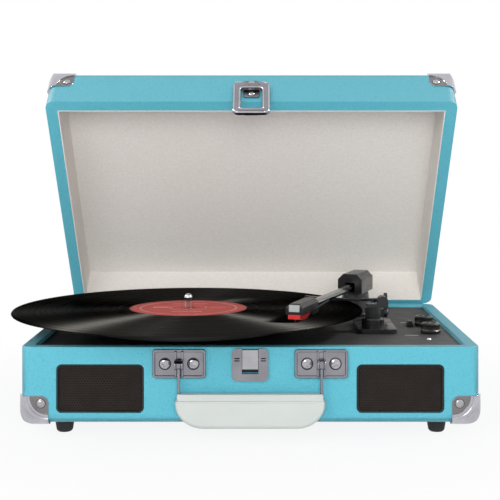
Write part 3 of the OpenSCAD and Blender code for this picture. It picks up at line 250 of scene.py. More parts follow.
def rubber(name, color):
    finish = Finish(name, color, roughness=0.75)
    finish.bump(finish.noise(0.7 * MM, 3), 0.05 * MM, 0.6)
    finish.vary_color(finish.noise(5 * MM, 4), 0.85, 1.25)
    return finish.material


def felt(name, color):
    finish = Finish(name, color, roughness=0.95, Sheen_Weight=0.3)
    finish.bump(finish.noise(0.4 * MM, 5), 0.12 * MM, 0.8)
    finish.vary_color(finish.noise(1.2 * MM, 6), 0.7, 1.4)
    return finish.material


def vinyl(name, color, edge):
    """Pressed record: fine rings whose tone and gloss drift from the rim inwards."""
    ring_scale = 260
    finish = Finish(name, color, roughness=0.52, metallic=1.0, Anisotropic=0.97,
                    Anisotropic_Rotation=0.25, Specular_Tint=edge)
    rings = finish.add("ShaderNodeTexWave", wave_type="RINGS", rings_direction="Z")
    rings.inputs["Scale"].default_value = ring_scale
    finish.join(finish.place, rings.inputs["Vector"])
    finish.bump(rings.outputs["Fac"], 0.02 * MM, 0.5)
    outwards = finish.add("ShaderNodeCombineXYZ")
    finish.join(finish.from_axis(), outwards.inputs["X"])
    drift = finish.noise(2.2 * MM, 4, outwards.outputs["Vector"])
    finish.vary_color(drift, 0.6, 1.5)
    finish.vary_roughness(drift, 0.08)
    tangent = finish.add("ShaderNodeTangent", direction_type="RADIAL", axis="Z")
    finish.join(tangent.outputs["Tangent"], finish.shader.inputs["Tangent"])
    return finish.material


def label_paper(name, color, radius):
    """Printed label: rings of tone around the hole, at shares of the radius."""
    finish = Finish(name, color, roughness=0.8, Specular_IOR_Level=0.25)
    share = finish.math("DIVIDE", finish.from_axis(), radius)
    dark, pale = shade(color, 0.6), srgb(205, 140, 128)
    stops = [(0.0, dark), (0.13, color), (0.30, pale), (0.32, color),
             (0.80, pale), (0.83, color), (0.955, dark)]
    finish.join(finish.ramp(share, stops, "CONSTANT"), finish.shader.inputs["Base Color"])
    finish.bump(finish.noise(0.6 * MM, 3), 0.02 * MM, 0.4)
    return finish.material


def clear_coated(name, color, roughness=0.25):
    finish = Finish(name, color, roughness, Coat_Weight=0.6, Coat_Roughness=0.12)
    finish.vary_color(finish.noise(4 * MM, 3), 0.9, 1.1)
    finish.bump(finish.noise(1.5 * MM, 2), 0.01 * MM, 0.5)
    return finish.material


def board(name, color):
    finish = Finish(name, color, roughness=0.35)
    finish.vary_color(finish.cells(4 * MM, "F1"), 0.7, 1.4)
    return finish.material


LABEL_R = size("record_label")[0] / 2
ROUND_LINES = (14, 14, 1)

# Each look's kind, its colour on screen and what else its kind takes
LOOKS = {
    "leatherette": (leatherette, (89, 178, 196)),
    "lining": (lining_paper, (234, 230, 225)),
    "nickel": (plated, (146, 145, 152), 0.2),
    "rolled_nickel": (plated, (184, 183, 190), 0.14),
    "dull_nickel": (plated, (132, 129, 130), 0.3),
    # painted shade: the darker nickel along the handle brackets' borders
    "edge_nickel": (plated, (98, 96, 103), 0.3),
    "screw_metal": (plated, (176, 175, 179), 0.16),
    "foot_rubber": (rubber, (32, 32, 32)),
    "deck_black": (moulded, (27, 26, 26), 0.6, 0.05),
    "grille_cloth": (moulded, (30, 22, 18), 0.8),
    "speaker_frame": (moulded, (52, 52, 54), 0.4),
    "speaker_paper": (felt, (9, 8, 8)),
    "grip_skin": (moulded, (199, 204, 200), 0.42, 0.02, 0.02),
    "steel": (brushed, (150, 150, 150), 0.3),
    "brass": (brushed, (190, 158, 92), 0.28),
    "belt_rubber": (rubber, (26, 26, 26)),
    "board_green": (board, (30, 92, 58)),
    "black_plastic": (moulded, (17, 17, 18), 0.3),
    "dark_metal": (moulded, (20, 19, 21), 0.26),
    "platter_black": (moulded, (30, 30, 31), 0.4),
    "mat_felt": (felt, (26, 26, 26)),
    "vinyl": (vinyl, (42, 41, 39), srgb(70, 69, 67)),
    "label_paper": (label_paper, (194, 72, 63), LABEL_R * MM),
    "chrome": (plated, (214, 213, 214), 0.1, 0.03),
    "arm_metal": (plated, (176, 173, 169), 0.12, 0.03),
    "cartridge_grey": (moulded, (176, 180, 180), 0.4),
    "stylus_red": (clear_coated, (212, 58, 56)),
    "knob_metal": (brushed, (56, 55, 54), 0.34, ROUND_LINES),
    # painted highlight: a lighter copy of the knob metal for the knobs' bevelled top rings
    "knob_bright": (brushed, (72, 71, 69), 0.24, ROUND_LINES),
    "print_white": (moulded, (226, 225, 222), 0.6),
    "label_print": (moulded, (224, 176, 166), 0.6),
    # The power lamp is near white rather than red: a painted highlight, the glint on its lens.
    "lamp_red": (clear_coated, (235, 225, 220), 0.15),
}
FINISHES = {name: kind(name, srgb(*color), *values)
            for name, (kind, color, *values) in LOOKS.items()}

for name, piece in nodes.items():
    piece.data.materials.clear()
    piece.data.materials.append(FINISHES[SLOT_OF[name]])


# Mesh helpers: profiles and outlines are in millimetres, meshes in metres


def add_piece(name, bm, slot, body, replaced=(), at=(0, 0, 0), sharp=35, look=None):
    """Makes an object of a bmesh, smooth below the sharp angle, and puts it on its body."""
    bmesh.ops.recalc_face_normals(bm, faces=bm.faces)
    mesh = bpy.data.meshes.new(name)
    bm.to_mesh(mesh)
    bm.free()
    mesh.shade_smooth()
    mesh.set_sharp_from_angle(angle=math.radians(sharp))
    mesh.materials.append(FINISHES[look or slot])
    piece = bpy.data.objects.new(name, mesh)
    piece.location = at
    scene.collection.objects.link(piece)
    if body:
        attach(piece, body)
    if replaced:
        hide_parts(*replaced)
    return piece


def eased(points, radius, steps=4):
    """An open profile with each inner corner turned into a small arc."""
    most_of_side = 0.45
    result = [points[0]]
    for before, corner, after in zip(points, points[1:], points[2:]):
        corner = Vector(corner)
        to_before, to_after = Vector(before) - corner, Vector(after) - corner
        reach = min(radius, to_before.length * most_of_side, to_after.length * most_of_side)
        start = corner + to_before.normalized() * reach
        end = corner + to_after.normalized() * reach
        for step in range(steps + 1):
            share = step / steps
            result.append(tuple(start.lerp(corner, share).lerp(corner.lerp(end, share), share)))
    return result + [points[-1]]


def lathe(profile, segments=96, wobble=None):
    """Turns (radius, height) points about Z; wobble(angle, radius, height) may change a radius."""
    bm = bmesh.new()
    rings = []
    for radius, height in profile:
        ring = []
        for step in range(segments if radius else 1):
            angle = math.tau * step / segments
            reach = (wobble(angle, radius, height) if wobble else radius) * MM
            place = (reach * math.cos(angle), reach * math.sin(angle), height * MM)
            ring.append(bm.verts.new(place))
        rings.append(ring)
    for first, second in zip(rings, rings[1:]):
        for step in range(segments):
            after = (step + 1) % segments
            corners = [first[step % len(first)], first[after % len(first)],
                       second[after % len(second)], second[step % len(second)]]
            corners = list(dict.fromkeys(corners))
            if len(corners) > 2:
                bm.faces.new(corners)
    return bm


def skin(bm, rings):
    """Adds the faces between closed rings that have the same number of vertices."""
    for first, second in zip(rings, rings[1:]):
        for step in range(len(first)):
            after = (step + 1) % len(first)
            bm.faces.new((first[step], first[after], second[after], second[step]))


def loft(loops, closed_ends=True):
    """Skins a stack of closed loops that have the same number of points."""
    bm = bmesh.new()
    rings = [[bm.verts.new(Vector(point) * MM) for point in loop] for loop in loops]
    skin(bm, rings)
    if closed_ends:
        bm.faces.new(rings[0])
        bm.faces.new(rings[-1])
    return bm


def round_outline(left, right, low, high, radii, steps=8):
    """A rectangle with a radius per corner: right low, right high, left high, left low."""
    corners = ((right, low, -90, -1, 1), (right, high, 0, -1, -1),
               (left, high, 90, 1, -1), (left, low, 180, 1, 1))
    points = []
    for (x, y, turn, way_x, way_y), radius in zip(corners, radii):
        for step in range(steps + 1):
            angle = math.radians(turn + 90 * step / steps)
            points.append((x + way_x * radius + radius * math.cos(angle),
                           y + way_y * radius + radius * math.sin(angle)))
    return points


def piping(path, radius, closed=False, segments=12):
    """A round bead along a flat path of (x, z) points, in the XZ plane."""
    points = [Vector((x, 0, z)) for x, z in path]
    count = len(points)
    turns = [math.tau * step / segments for step in range(segments)]
    loops = []
    for index, point in enumerate(points):
        before = points[index - 1] if closed or index else point
        after = points[(index + 1) % count] if closed or index + 1 < count else point
        along = (after - before).normalized()
        across = Vector((along.z, 0, -along.x))
        loops.append([point + radius * (across * math.cos(turn) + Vector((0, math.sin(turn), 0)))
                      for turn in turns])
    if closed:
        loops.append(loops[0])
    bm = loft(loops, closed_ends=not closed)
    bmesh.ops.remove_doubles(bm, verts=bm.verts, dist=WELD)
    return bm


def merged(parts):
    """One bmesh from several (bmesh, matrix) pairs."""
    total = bmesh.new()
    for bm, matrix in parts:
        bm.transform(matrix)
        mesh = bpy.data.meshes.new("part")
        bm.to_mesh(mesh)
        bm.free()
        total.from_mesh(mesh)
        bpy.data.meshes.remove(mesh)
    return total


def islands(bm):
    """The faces of each loose part."""
    todo = dict.fromkeys(bm.faces)
    while todo:
        stack, island = [todo.popitem()[0]], []
        while stack:
            face = stack.pop()
            island.append(face)
            for edge in face.edges:
                for other in edge.link_faces:
                    if other in todo:
                        del todo[other]
                        stack.append(other)
        yield island


def domes(node):
    """The seat's middle, the outward axis and the radius of each loose dome in a CAD node."""
    bm = bmesh.new()
    bm.from_mesh(nodes[node].data)
    bmesh.ops.remove_doubles(bm, verts=bm.verts, dist=WELD)
    found = []
    for island in islands(bm):
        facing = {}
        for face in island:
            facing.setdefault(tuple(round(part, 2) for part in face.normal), []).append(face)
        flat = max(facing.values(), key=lambda faces: sum(face.calc_area() for face in faces))
        rim = dict.fromkeys(vert for face in flat for vert in face.verts)
        seat = sum((vert.co for vert in rim), Vector()) / len(rim)
        radius = max((vert.co - seat).length for vert in rim) / MM
        found.append((seat.copy(), -flat[0].normal.copy(), radius))
    bm.free()
    return found


def screw_head(radius, height):
    """A domed head with a cross recess, on a grid that is bent into a disc."""
    slot, reach, lip = 0.13, 0.5, 0.05
    curve, sunk, recess = 0.92, 0.28, 0.5
    half = [0.0, slot, slot + lip, 0.3, reach, reach + lip, 0.68, 0.8, 0.9, 1.0]
    lines = [-value for value in reversed(half[1:])] + half
    bm = bmesh.new()
    grid = []
    for v in lines:
        row = []
        for u in lines:
            x, y = u * math.sqrt(1 - v * v / 2), v * math.sqrt(1 - u * u / 2)
            far = min(1.0, math.hypot(x, y))
            z = height * math.sqrt(1 - curve * far * far) - height * sunk
            if (abs(u) <= slot and abs(v) <= reach) or (abs(v) <= slot and abs(u) <= reach):
                z -= height * recess
            row.append(bm.verts.new((x * radius * MM, y * radius * MM, max(z, 0.0) * MM)))
        grid.append(row)
    for row, above in zip(grid, grid[1:]):
        for index in range(len(lines) - 1):
            bm.faces.new((row[index], row[index + 1], above[index + 1], above[index]))
    return bm


def rivet_head(radius, height):
    """A dome on a thin, stepped brim."""
    brim_h, step_h, step_r, dome_r, turns = 0.25, 0.34, 0.86, 0.82, 7
    profile = [(radius, 0), (radius, height * brim_h), (radius * step_r, height * step_h)]
    for turn in range(1, turns):
        angle = math.radians(90 * turn / turns)
        rise = step_h + (1 - step_h) * math.sin(angle)
        profile.append((radius * dome_r * math.cos(angle), height * rise))
    return lathe(profile + [(0, height)], 32)


def fasteners(node, head, height, scale=1.0, slot=None):
    """Replaces a CAD node of plain domes by heads, each turned its own way, in thin dark rings of
    painted shade.
    """
    spin_step, shade_in, shade_out, shade_low, shade_high = 37, 0.9, 1.15, 0.12, 0.3
    heads, shade_rings = [], []
    for index, (seat, axis, dome_r) in enumerate(domes(node)):
        place = Matrix.Translation(seat) @ axis.to_track_quat("Z", "Y").to_matrix().to_4x4()
        spin = Matrix.Rotation(math.radians(spin_step * index), 4, "Z")
        radius = dome_r * scale
        heads.append((head(radius, height), place @ spin))
        # A thin dark ring around each head is painted shade where the head meets the surface.
        inner, outer = radius * shade_in, radius * shade_out
        section = [(inner, 0), (outer, 0), (outer, shade_low), (inner, shade_high), (inner, 0)]
        shade_rings.append((lathe(section, 32), place))
    slot, body = slot or SLOT_OF[node], BODY_OF[node]
    add_piece(node + "_heads", merged(heads), slot, body, (node,))
    add_piece(node + "_shade_rings", merged(shade_rings), slot, body, look="dark_metal")


def softened(node, width, angle=35, wanted=None, look=None):
    """A copy of a CAD node with its edges rounded off; wanted(edge) can pick the edges."""
    flat = 0.5
    bm = bmesh.new()
    bm.from_mesh(nodes[node].data)
    bmesh.ops.remove_doubles(bm, verts=bm.verts, dist=2 * WELD)
    bmesh.ops.dissolve_limit(bm, angle_limit=math.radians(flat), verts=bm.verts, edges=bm.edges)
    edges = [edge for edge in bm.edges
             if len(edge.link_faces) == 2 and edge.calc_face_angle() > math.radians(angle)
             and (wanted is None or wanted(edge))]
    bmesh.ops.bevel(bm, geom=edges, offset=width * MM, offset_type="OFFSET", segments=2,
                    profile=0.5, affect="EDGES", clamp_overlap=True)
    piece = add_piece(node + "_soft", bm, SLOT_OF[node], BODY_OF[node], (node,), sharp=50,
                      look=look)
    normals = piece.modifiers.new("normals", "WEIGHTED_NORMAL")
    normals.keep_sharp = True
    return piece


# Rivets and screws

fasteners("base_rivets", rivet_head, 1.3, 1.3)
fasteners("lid_rivets", rivet_head, 1.3, 1.3)
fasteners("case_screws", screw_head, 1.9)
fasteners("lid_screws", rivet_head, 1.2, 1.2)
fasteners("deck_screws", screw_head, 1.0, slot="steel")


# Pressed, moulded and turned pieces: the CAD's shapes with their edges rounded off

SOFTENED = {
    "catch_plate": 0.3, "hasp_loop": 0.3, "handle_bails": 0.3, "jack_plate": 0.3,
    "base_hinge_leaves": 0.25, "lid_hinge_leaves": 0.25, "feet": 0.6,
    "deck_plate": 0.4, "platter": 0.4, "spindle": 0.3,
    "arm_pedestal": 0.4, "arm_yoke": 0.5, "tone_arm": 0.3, "head_shell": 0.4, "cartridge": 0.4,
    "stylus": 0.25, "arm_rest": 0.4, "lift_bar": 0.3, "cue_base": 0.4, "cue_lever": 0.5,
    "speed_slider": 0.3, "phono_sockets": 0.2, "aux_socket": 0.2, "power_inlet": 0.2,
}
for node, width in SOFTENED.items():
    softened(node, width)
softened("catch_lever", 0.3, look="screw_metal")
# The hasp plate takes the darker, duller nickel, partly painted shade so it reads dark through the
# loop's eye.
softened("hasp_plate", 0.3, look="dull_nickel")


def add_bracket(node):
    """A handle bracket whose raised border is darker than its field, as painted shade."""
    shade_border = 2.1
    piece = softened(node, 0.35)
    piece.data.materials.append(FINISHES["edge_nickel"])
    low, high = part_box(node)
    # Faces near the bracket's outline take the darker nickel: painted shade along its bevels.
    for face in piece.data.polygons:
        x, _, z = face.center
        if min(x - low[0], high[0] - x, z - low[2], high[2] - z) < shade_border * MM:
            face.material_index = 1


def along_rim(height):
    """Picks the edges that lie flat at one height, in metres."""
    near = 0.05 * MM

    def wanted(edge):
        return all(abs(vert.co.z - height) < near for vert in edge.verts)
    return wanted


BASE_LOW, BASE_HIGH = (Vector(corner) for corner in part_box("base_shell"))

add_bracket("bracket_left")
add_bracket("bracket_right")
softened("base_shell", 0.8, 60, along_rim(BASE_HIGH.z))


# Corner caps, hasp and hinge; the lid's are drawn with the lid shut and turned with it

LID_OPEN = 49.8
LID_AXIS = Vector(JOINTS["lid_hinge"]["pos_m"])
ON_LID = (Matrix.Translation(LID_AXIS) @ Matrix.Rotation(math.radians(-LID_OPEN), 4, "X")
          @ Matrix.Translation(-LID_AXIS))
CAP_T = 0.8
CAP_EDGE = 22


def shut_box(node):
    """The box of a node of the lid, with the lid turned back to its shut place."""
    points = [ON_LID.inverted() @ vert.co for vert in nodes[node].data.vertices]
    return (Vector([min(point[axis] for point in points) for axis in range(3)]),
            Vector([max(point[axis] for point in points) for axis in range(3)]))


def two_tone(piece, low, high, back):
    """Gives the sunk lobes of corner caps a duller metal than the rolled bands around them."""
    straight, near = 0.99, 0.15
    piece.data.materials.append(FINISHES["dull_nickel"])
    turn = back.to_3x3()
    for face in piece.data.polygons:
        center, normal = back @ face.center, turn @ face.normal
        axis = max(range(3), key=lambda index: abs(normal[index]))
        out = center[axis] - high[axis] if normal[axis] > 0 else low[axis] - center[axis]
        if abs(normal[axis]) > straight and abs(out / MM - CAP_T) < near:
            face.material_index = 1


def add_cap_rolls():
    """A rolled rib along the band of each corner cap at the front of the base."""
    rib_r, path_r, proud, steps = 2.4, 18.4, 0.2, 14
    arc = [math.radians(-90 * step / steps) for step in range(steps + 1)]
    front = Matrix.Translation((0, BASE_LOW.y - proud * MM, 0))
    parts = []
    for side, edge in ((-1, BASE_LOW.x), (1, BASE_HIGH.x)):
        x, z = edge / MM - side * CAP_EDGE, BASE_LOW.z / MM + CAP_EDGE
        path = [(x + side * path_r * math.cos(angle), z + path_r * math.sin(angle))
                for angle in arc]
        parts.append((piping(path, rib_r), front))
    add_piece("base_corner_rolls", merged(parts), "nickel", "case", look="rolled_nickel")


def add_loop_beads():
    """Rolled edges of the hasp loop: an open bead outside and a closed one around its eye."""
    half, above, below, corner, gap, bead_r = 15.0, 3.0, 39.0, 4.0, 8.8, 0.9
    eye_half, eye_top, eye_low, eye_corner, eye_bead_r = 10.3, 3.5, 4.4, 3.4, 0.8
    proud = 1.2
    pin = ON_LID.inverted() @ Vector(JOINTS["hasp_swing"]["pos_m"]) / MM
    top, low = pin.z + above, pin.z - below
    outline = round_outline(-half, half, low, top, (corner,) * 4, 6)[::-1]
    turn = len(outline) // 2
    outer = [(gap, top)] + outline[turn:] + outline[:turn] + [(-gap, top)]
    inner = round_outline(-eye_half, eye_half, low + eye_low, pin.z - eye_top,
                          (eye_corner,) * 4, 6)
    face = Matrix.Translation(Vector((pin.x, pin.y - proud, 0)) * MM)
    bm = merged([(piping(outer, bead_r), face), (piping(inner, eye_bead_r, closed=True), face)])
    bm.transform(ON_LID)
    add_piece("hasp_loop_beads", bm, "nickel", "hasp", look="rolled_nickel")


def add_hinge_cover():
    """A leatherette strip over the gap between base and lid, rolled about the hinge's axis."""
    sunk, tuck, thick, end_gap = 0.35, 6, 0.6, 8.5
    arc_steps, half_steps, held_steps = 16, 12, 2
    edge = BASE_HIGH - LID_AXIS
    radius = math.hypot(edge.y, edge.z) / MM - sunk
    first, sweep = math.degrees(math.atan2(edge.z, edge.y)) + tuck, LID_OPEN + 2 * tuck
    angles = [math.radians(first - step * sweep / arc_steps) for step in range(arc_steps + 1)]

    def on_arc(reach, angle):
        return (reach * math.cos(angle), reach * math.sin(angle))

    section = [on_arc(radius, angle) for angle in angles]
    section += [on_arc(radius - thick, angle) for angle in reversed(angles)]
    half = size("base_shell")[0] / 2 - end_gap
    stations = [half * step / half_steps for step in range(-half_steps, half_steps + 1)]
    strip = loft([[(x, y, z) for y, z in section] for x in stations])
    at = Vector((middle("base_shell")[0], LID_AXIS.y, LID_AXIS.z))
    cover = add_piece("hinge_cover", strip, "leatherette", None, at=at)
    ends = [at + Vector((0, *on_arc(radius * MM, angle)))
            for angle in (angles[held_steps], angles[-1 - held_steps])]
    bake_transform(cover)


base_caps = softened("base_corners", 0.5, look="rolled_nickel")
two_tone(base_caps, BASE_LOW, BASE_HIGH, Matrix())
lid_caps = softened("lid_corners", 0.5, look="rolled_nickel")
two_tone(lid_caps, *shut_box("lid_shell"), ON_LID.inverted())
add_cap_rolls()
add_loop_beads()
add_hinge_cover()


# Speaker grilles

HOLE_PITCH = 2.2
HOLE_R = 0.72
FRAME_W = 1.5


def perforated(width, height, corner, thick):
    """A sheet of staggered holes, made of six-sided cells, in the XZ plane facing -Y."""
    turns = [math.radians(30 + 60 * step) for step in range(6)]
    row_step = HOLE_PITCH * math.sqrt(3) / 2
    cell_r = HOLE_PITCH / math.sqrt(3)
    rows, columns = int(height / row_step / 2) + 1, int(width / HOLE_PITCH / 2) + 1
    bm = bmesh.new()
    for row in range(-rows, rows + 1):
        for column in range(-columns, columns + 1):
            x = (column + 0.5 * (row % 2)) * HOLE_PITCH
            z = row * row_step
            over_x = max(0.0, abs(x) - width / 2 + corner)
            over_z = max(0.0, abs(z) - height / 2 + corner)
            if math.hypot(over_x, over_z) > corner:
                continue
            rings = []
            for radius, depth in ((cell_r, 0.0), (HOLE_R, 0.0), (HOLE_R, thick)):
                places = [(x + radius * math.cos(turn), depth, z + radius * math.sin(turn))
                          for turn in turns]
                rings.append([bm.verts.new(Vector(place) * MM) for place in places])
            skin(bm, rings)
    bmesh.ops.remove_doubles(bm, verts=bm.verts, dist=10 * WELD)
    return bm


def add_grille(node):
    """A moulded frame, a perforated sheet and a cloth behind it."""
    corner, corner_ease = 4.0, 0.8
    sheet_t, sheet_back, under_frame = 0.5, 0.9, 0.5
    cloth_t, cloth_in = 0.3, 0.3
    width, depth, height = size(node)
    x, _, z = middle(node)
    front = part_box(node)[0][1]
    body = BODY_OF[node]

    def ring(inset, y):
        half_w, half_h = width / 2 - inset, height / 2 - inset
        radius = corner - inset * corner_ease
        outline = round_outline(-half_w, half_w, -half_h, half_h, (radius,) * 4)
        return [(px, y, pz) for px, pz in outline]

    section = [(0.0, depth), (0.0, 0.3), (0.25, 0.0), (FRAME_W - 0.5, 0.0),
               (FRAME_W - 0.15, 0.3), (FRAME_W, 1.1)]
    edging = loft([ring(inset, y) for inset, y in section], closed_ends=False)
    add_piece(node + "_frame", edging, "black_plastic", body, (node,), (x, front, z))
    inside = 2 * (FRAME_W - under_frame)
    sheet = perforated(width - inside, height - inside, corner - corner_ease, sheet_t)
    add_piece(node + "_sheet", sheet, "grille_cloth", body, (), (x, front + sheet_back * MM, z))
    cloth = loft([ring(cloth_in, depth - cloth_t), ring(cloth_in, depth)])
    add_piece(node + "_cloth", cloth, "speaker_paper", body, (), (x, front, z))


add_grille("grille_left")
add_grille("grille_right")


# Record and label

SPINDLE_HOLE = 3.7


def add_record():
    """A rounded rim, bands of grooves with gaps between them, and a seat for the label."""
    rim, nose, lead_in, run_out = 2.2, 0.5, 3.2, 14
    groove_d, slope, half_gap, gaps = 0.12, 0.3, 0.35, (0.19, 0.41, 0.58, 0.79)
    last_groove, half_groove = LABEL_R + 11.6, 0.4
    seat_r, seat_d = LABEL_R + 0.1, 0.3
    width, _, thick = size("record")
    x, y, _ = middle("record")
    radius, groove = width / 2, thick - groove_d
    band_out, band_in = radius - lead_in, LABEL_R + run_out
    edges = [band_out]
    for share in gaps:
        gap = band_out - share * (band_out - band_in)
        edges += [gap + half_gap, gap - half_gap]
    edges.append(band_in)
    profile = [(SPINDLE_HOLE, 0), (radius - rim, 0), (radius - nose, thick * 0.18),
               (radius, thick * 0.5), (radius - nose, thick * 0.86), (radius - rim, thick)]
    for outer, inner in zip(edges[0::2], edges[1::2]):
        profile += [(outer, thick), (outer - slope, groove), (inner + slope, groove),
                    (inner, thick)]
    profile += [(last_groove + half_groove, thick), (last_groove, groove),
                (last_groove - half_groove, thick), (LABEL_R + 5, thick), (LABEL_R + 4.4, thick),
                (seat_r, thick), (seat_r, thick - seat_d), (SPINDLE_HOLE, thick - seat_d),
                (SPINDLE_HOLE, 0)]
    at = (x, y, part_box("record")[0][2])
    add_piece("record_pressed", lathe(profile, 256), "vinyl", "turntable", ("record",), at, 20)


def add_label():
    """A paper disc with two pressed lines, on the record's axis so that its rings are round."""
    lines, half_line, line_d, ease = (34.1, 14.8), 0.4, 0.08, 0.05
    x, y, _ = middle("record_label")
    thick = size("record_label")[2]
    profile = [(SPINDLE_HOLE, 0), (LABEL_R, 0), (LABEL_R, thick)]
    for line in lines:
        profile += [(line + half_line, thick), (line, thick - line_d), (line - half_line, thick)]
    profile += [(SPINDLE_HOLE, thick), (SPINDLE_HOLE, 0)]
    disc = lathe(eased(profile, ease, 2), 192)
    at = (x, y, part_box("record_label")[0][2])
    add_piece("record_label_disc", disc, "label_paper", "turntable", ("record_label",), at)


add_record()
add_label()


# Knobs

KNOB_H = 8.0


def add_knob(node):
    """A fluted side on a skirt, a lighter ring on top as a painted highlight, and a pointer line
    in the dished top.
    """
    stem_r, stem_l, side_in, brow_h = 1.5, 1.2, 0.6, 1.2
    flutes, flute_d = 36, 0.25
    line_half, line_in, narrow = 4.5, 1.2, 0.1
    radius = size(node)[0] / 2
    x, y, _ = middle(node)
    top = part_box(node)[1][2] / MM
    low, brow = top - KNOB_H, top - brow_h
    side_r = radius - side_in
    flute_low, flute_high = low + 2.8, brow - 0.4
    dish_r, dish_z = radius - 4.0, top - 0.5
    body = BODY_OF[node]

    def fluted(angle, reach, height):
        if flute_low <= height <= flute_high:
            return reach - flute_d * (1 + math.cos(flutes * angle))
        return reach

    skirt = [(stem_r, low - stem_l), (stem_r, low), (radius, low), (radius, low + 1.5),
             (side_r, low + 2.2), (side_r, flute_low), (side_r, flute_high), (side_r, brow)]
    add_piece(node + "_skirt", lathe(skirt, 288, fluted), "knob_metal", body, (node,), (x, y, 0))
    # The top ring's lighter metal is a painted highlight on the bevel.
    ring = [(side_r, brow), (side_r - 1.2, top), (radius - 3.4, top), (dish_r, dish_z)]
    add_piece(node + "_ring", lathe(eased(ring, 0.4)), "knob_metal", body, (), (x, y, 0),
              look="knob_bright")
    dish = [(dish_r, dish_z), (radius - 4.6, top - 0.62), (0, dish_z)]
    add_piece(node + "_dish", lathe(dish), "knob_metal", body, (), (x, y, 0))
    outline = round_outline(-line_half, line_half, line_in, radius - 4.2, (1.2,) * 4, 4)
    line = loft([[(px * narrow, py, h) for px, py in outline] for h in (top - 0.75, top - 0.4)])
    add_piece(node + "_line", line, "knob_metal", body, (), (x, y, 0), look="print_white")


add_knob("volume_knob")
add_knob("function_knob")


# Handle grip: a boat-shaped moulding with a bevelled top and a bead where the bevel starts

RIDGE_DROP = 5.5


def grip_outline(half, low, high, ridge, corner, steps=14):
    """From the front: corner is the (width, height) of each lower corner's quarter ellipse."""
    wide, tall = corner
    points = []
    for step in range(steps + 1):
        angle = math.radians(-90 + 90 * step / steps)
        points.append((half - wide + wide * math.cos(angle), low + tall + tall * math.sin(angle)))
    shoulder = min(ridge + 0.4, high)
    points += [(half - 0.02, min(ridge, high)), (half - 1.1, shoulder),
               (half - 1.7, max(shoulder, high - 0.7)), (half - 2.4, high)]
    return points + [(-x, z) for x, z in reversed(points)]


def add_grip():
    ease, bevel_d, side_share = 4.0, 3.0, 0.5
    corner_w, corner_share, corner_gap = 22.0, 0.6, 1.0
    bead_r, bead_sunk = 0.9, 0.5
    width, deep, high = size("handle_grip")
    at = middle("handle_grip")
    ridge = high / 2 - RIDGE_DROP
    front_half = []
    for depth in (0.0, 0.1, 0.3, 0.65, 1.1, 1.6, 2.2, 2.9, 3.2, 4.0):
        low_in = ease - math.sqrt(ease ** 2 - (ease - depth) ** 2)
        top_in = RIDGE_DROP * max(0.0, 1 - depth / bevel_d)
        front_half.append((depth, low_in, top_in))
    back_half = [(deep - depth, *insets) for depth, *insets in reversed(front_half)]
    loops = []
    for depth, low_in, top_in in front_half + back_half:
        low = low_in - high / 2
        corner = (corner_w - low_in * corner_share, ridge - low - corner_gap)
        half = width / 2 - low_in * side_share
        outline = grip_outline(half, low, high / 2 - top_in, ridge, corner)
        loops.append([(px, depth - deep / 2, pz) for px, pz in outline])
    add_piece("grip_moulding", loft(loops), "grip_skin", "handle", ("handle_grip",), at, 24)
    reach = width / 2 - ease * side_share
    front, back = (corner[1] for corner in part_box("handle_grip"))
    beads = [(piping([(-reach, ridge), (reach, ridge)], bead_r),
              Matrix.Translation((at[0], face, at[2])))
             for face in (front + bead_sunk * MM, back - bead_sunk * MM)]
    add_piece("grip_beads", merged(beads), "grip_skin", "handle")


add_grip()


# A black liner behind the catch: painted shade in the slot under the lever


def add_shade_pocket():
    side_gap, deep, below, above, corner, bevel = 0.6, 5.6, 4.2, 2.5, 0.6, 0.5
    x, _, _ = middle("catch_lever")
    half = size("catch_lever")[0] / 2 + side_gap
    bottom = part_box("catch_lever")[0][2] / MM - below
    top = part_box("catch_plate")[1][2] / MM - above
    loops = []
    for inset, y in ((0.0, 0.0), (0.0, deep - bevel), (bevel, deep)):
        outline = round_outline(inset - half, half - inset, bottom + inset, top - inset,
                                (corner,) * 4, 4)
        loops.append([(px, y, pz) for px, pz in outline])
    bm = loft(loops, closed_ends=False)
    bm.verts.ensure_lookup_table()
    bm.faces.new(bm.verts[-len(loops[-1]):])
    at = (x, middle("catch_plate")[1], 0)
    # The black liner is painted shade: it darkens the slot where the leatherette would show
    # through.
    add_piece("catch_shade_pocket", bm, "black_plastic", "case", (), at)


add_shade_pocket()


# Printed marks beside the knobs, and plain bars on the label: middle x, middle y, length, width

DECK_MARKS = ((147.45, -51.47, 11.6, 0.9), (149.15, 22.1, 5.4, 0.9))
LABEL_BARS = ((0, 26, 30, 0.8), (-24, 6, 14, 0.7), (-24, 3, 14, 0.7), (-24, 0, 14, 0.7),
              (25, 3, 14, 0.7), (0, -24, 26, 0.8))


def add_marks(name, marks, origin, slot, body, look):
    sunk, proud, corner_share = 0.1, 0.06, 1 / 2.2
    parts = []
    for x, y, length, width in marks:
        outline = round_outline(-length / 2, length / 2, -width / 2, width / 2,
                                (width * corner_share,) * 4, 4)
        mark = loft([[(px, py, h) for px, py in outline] for h in (-sunk, proud)])
        parts.append((mark, Matrix.Translation((x * MM, y * MM, 0))))
    add_piece(name, merged(parts), slot, body, (), origin, look=look)


deck_top = (0, 0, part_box("deck_plate")[1][2])
add_marks("deck_marks", DECK_MARKS, deck_top, "deck_black", "case", "print_white")
label_top = (*middle("record_label")[:2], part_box("record_label")[1][2])
add_marks("label_bars", LABEL_BARS, label_top, "label_paper", "turntable", "label_print")


# Camera, lights and floor

PHOTO_PX = 500
FOCAL_PX = 1160
PRINCIPAL_PX = (262.3, 152.5)
CAMERA_AT = (21.65, -1028.767, 223.3)


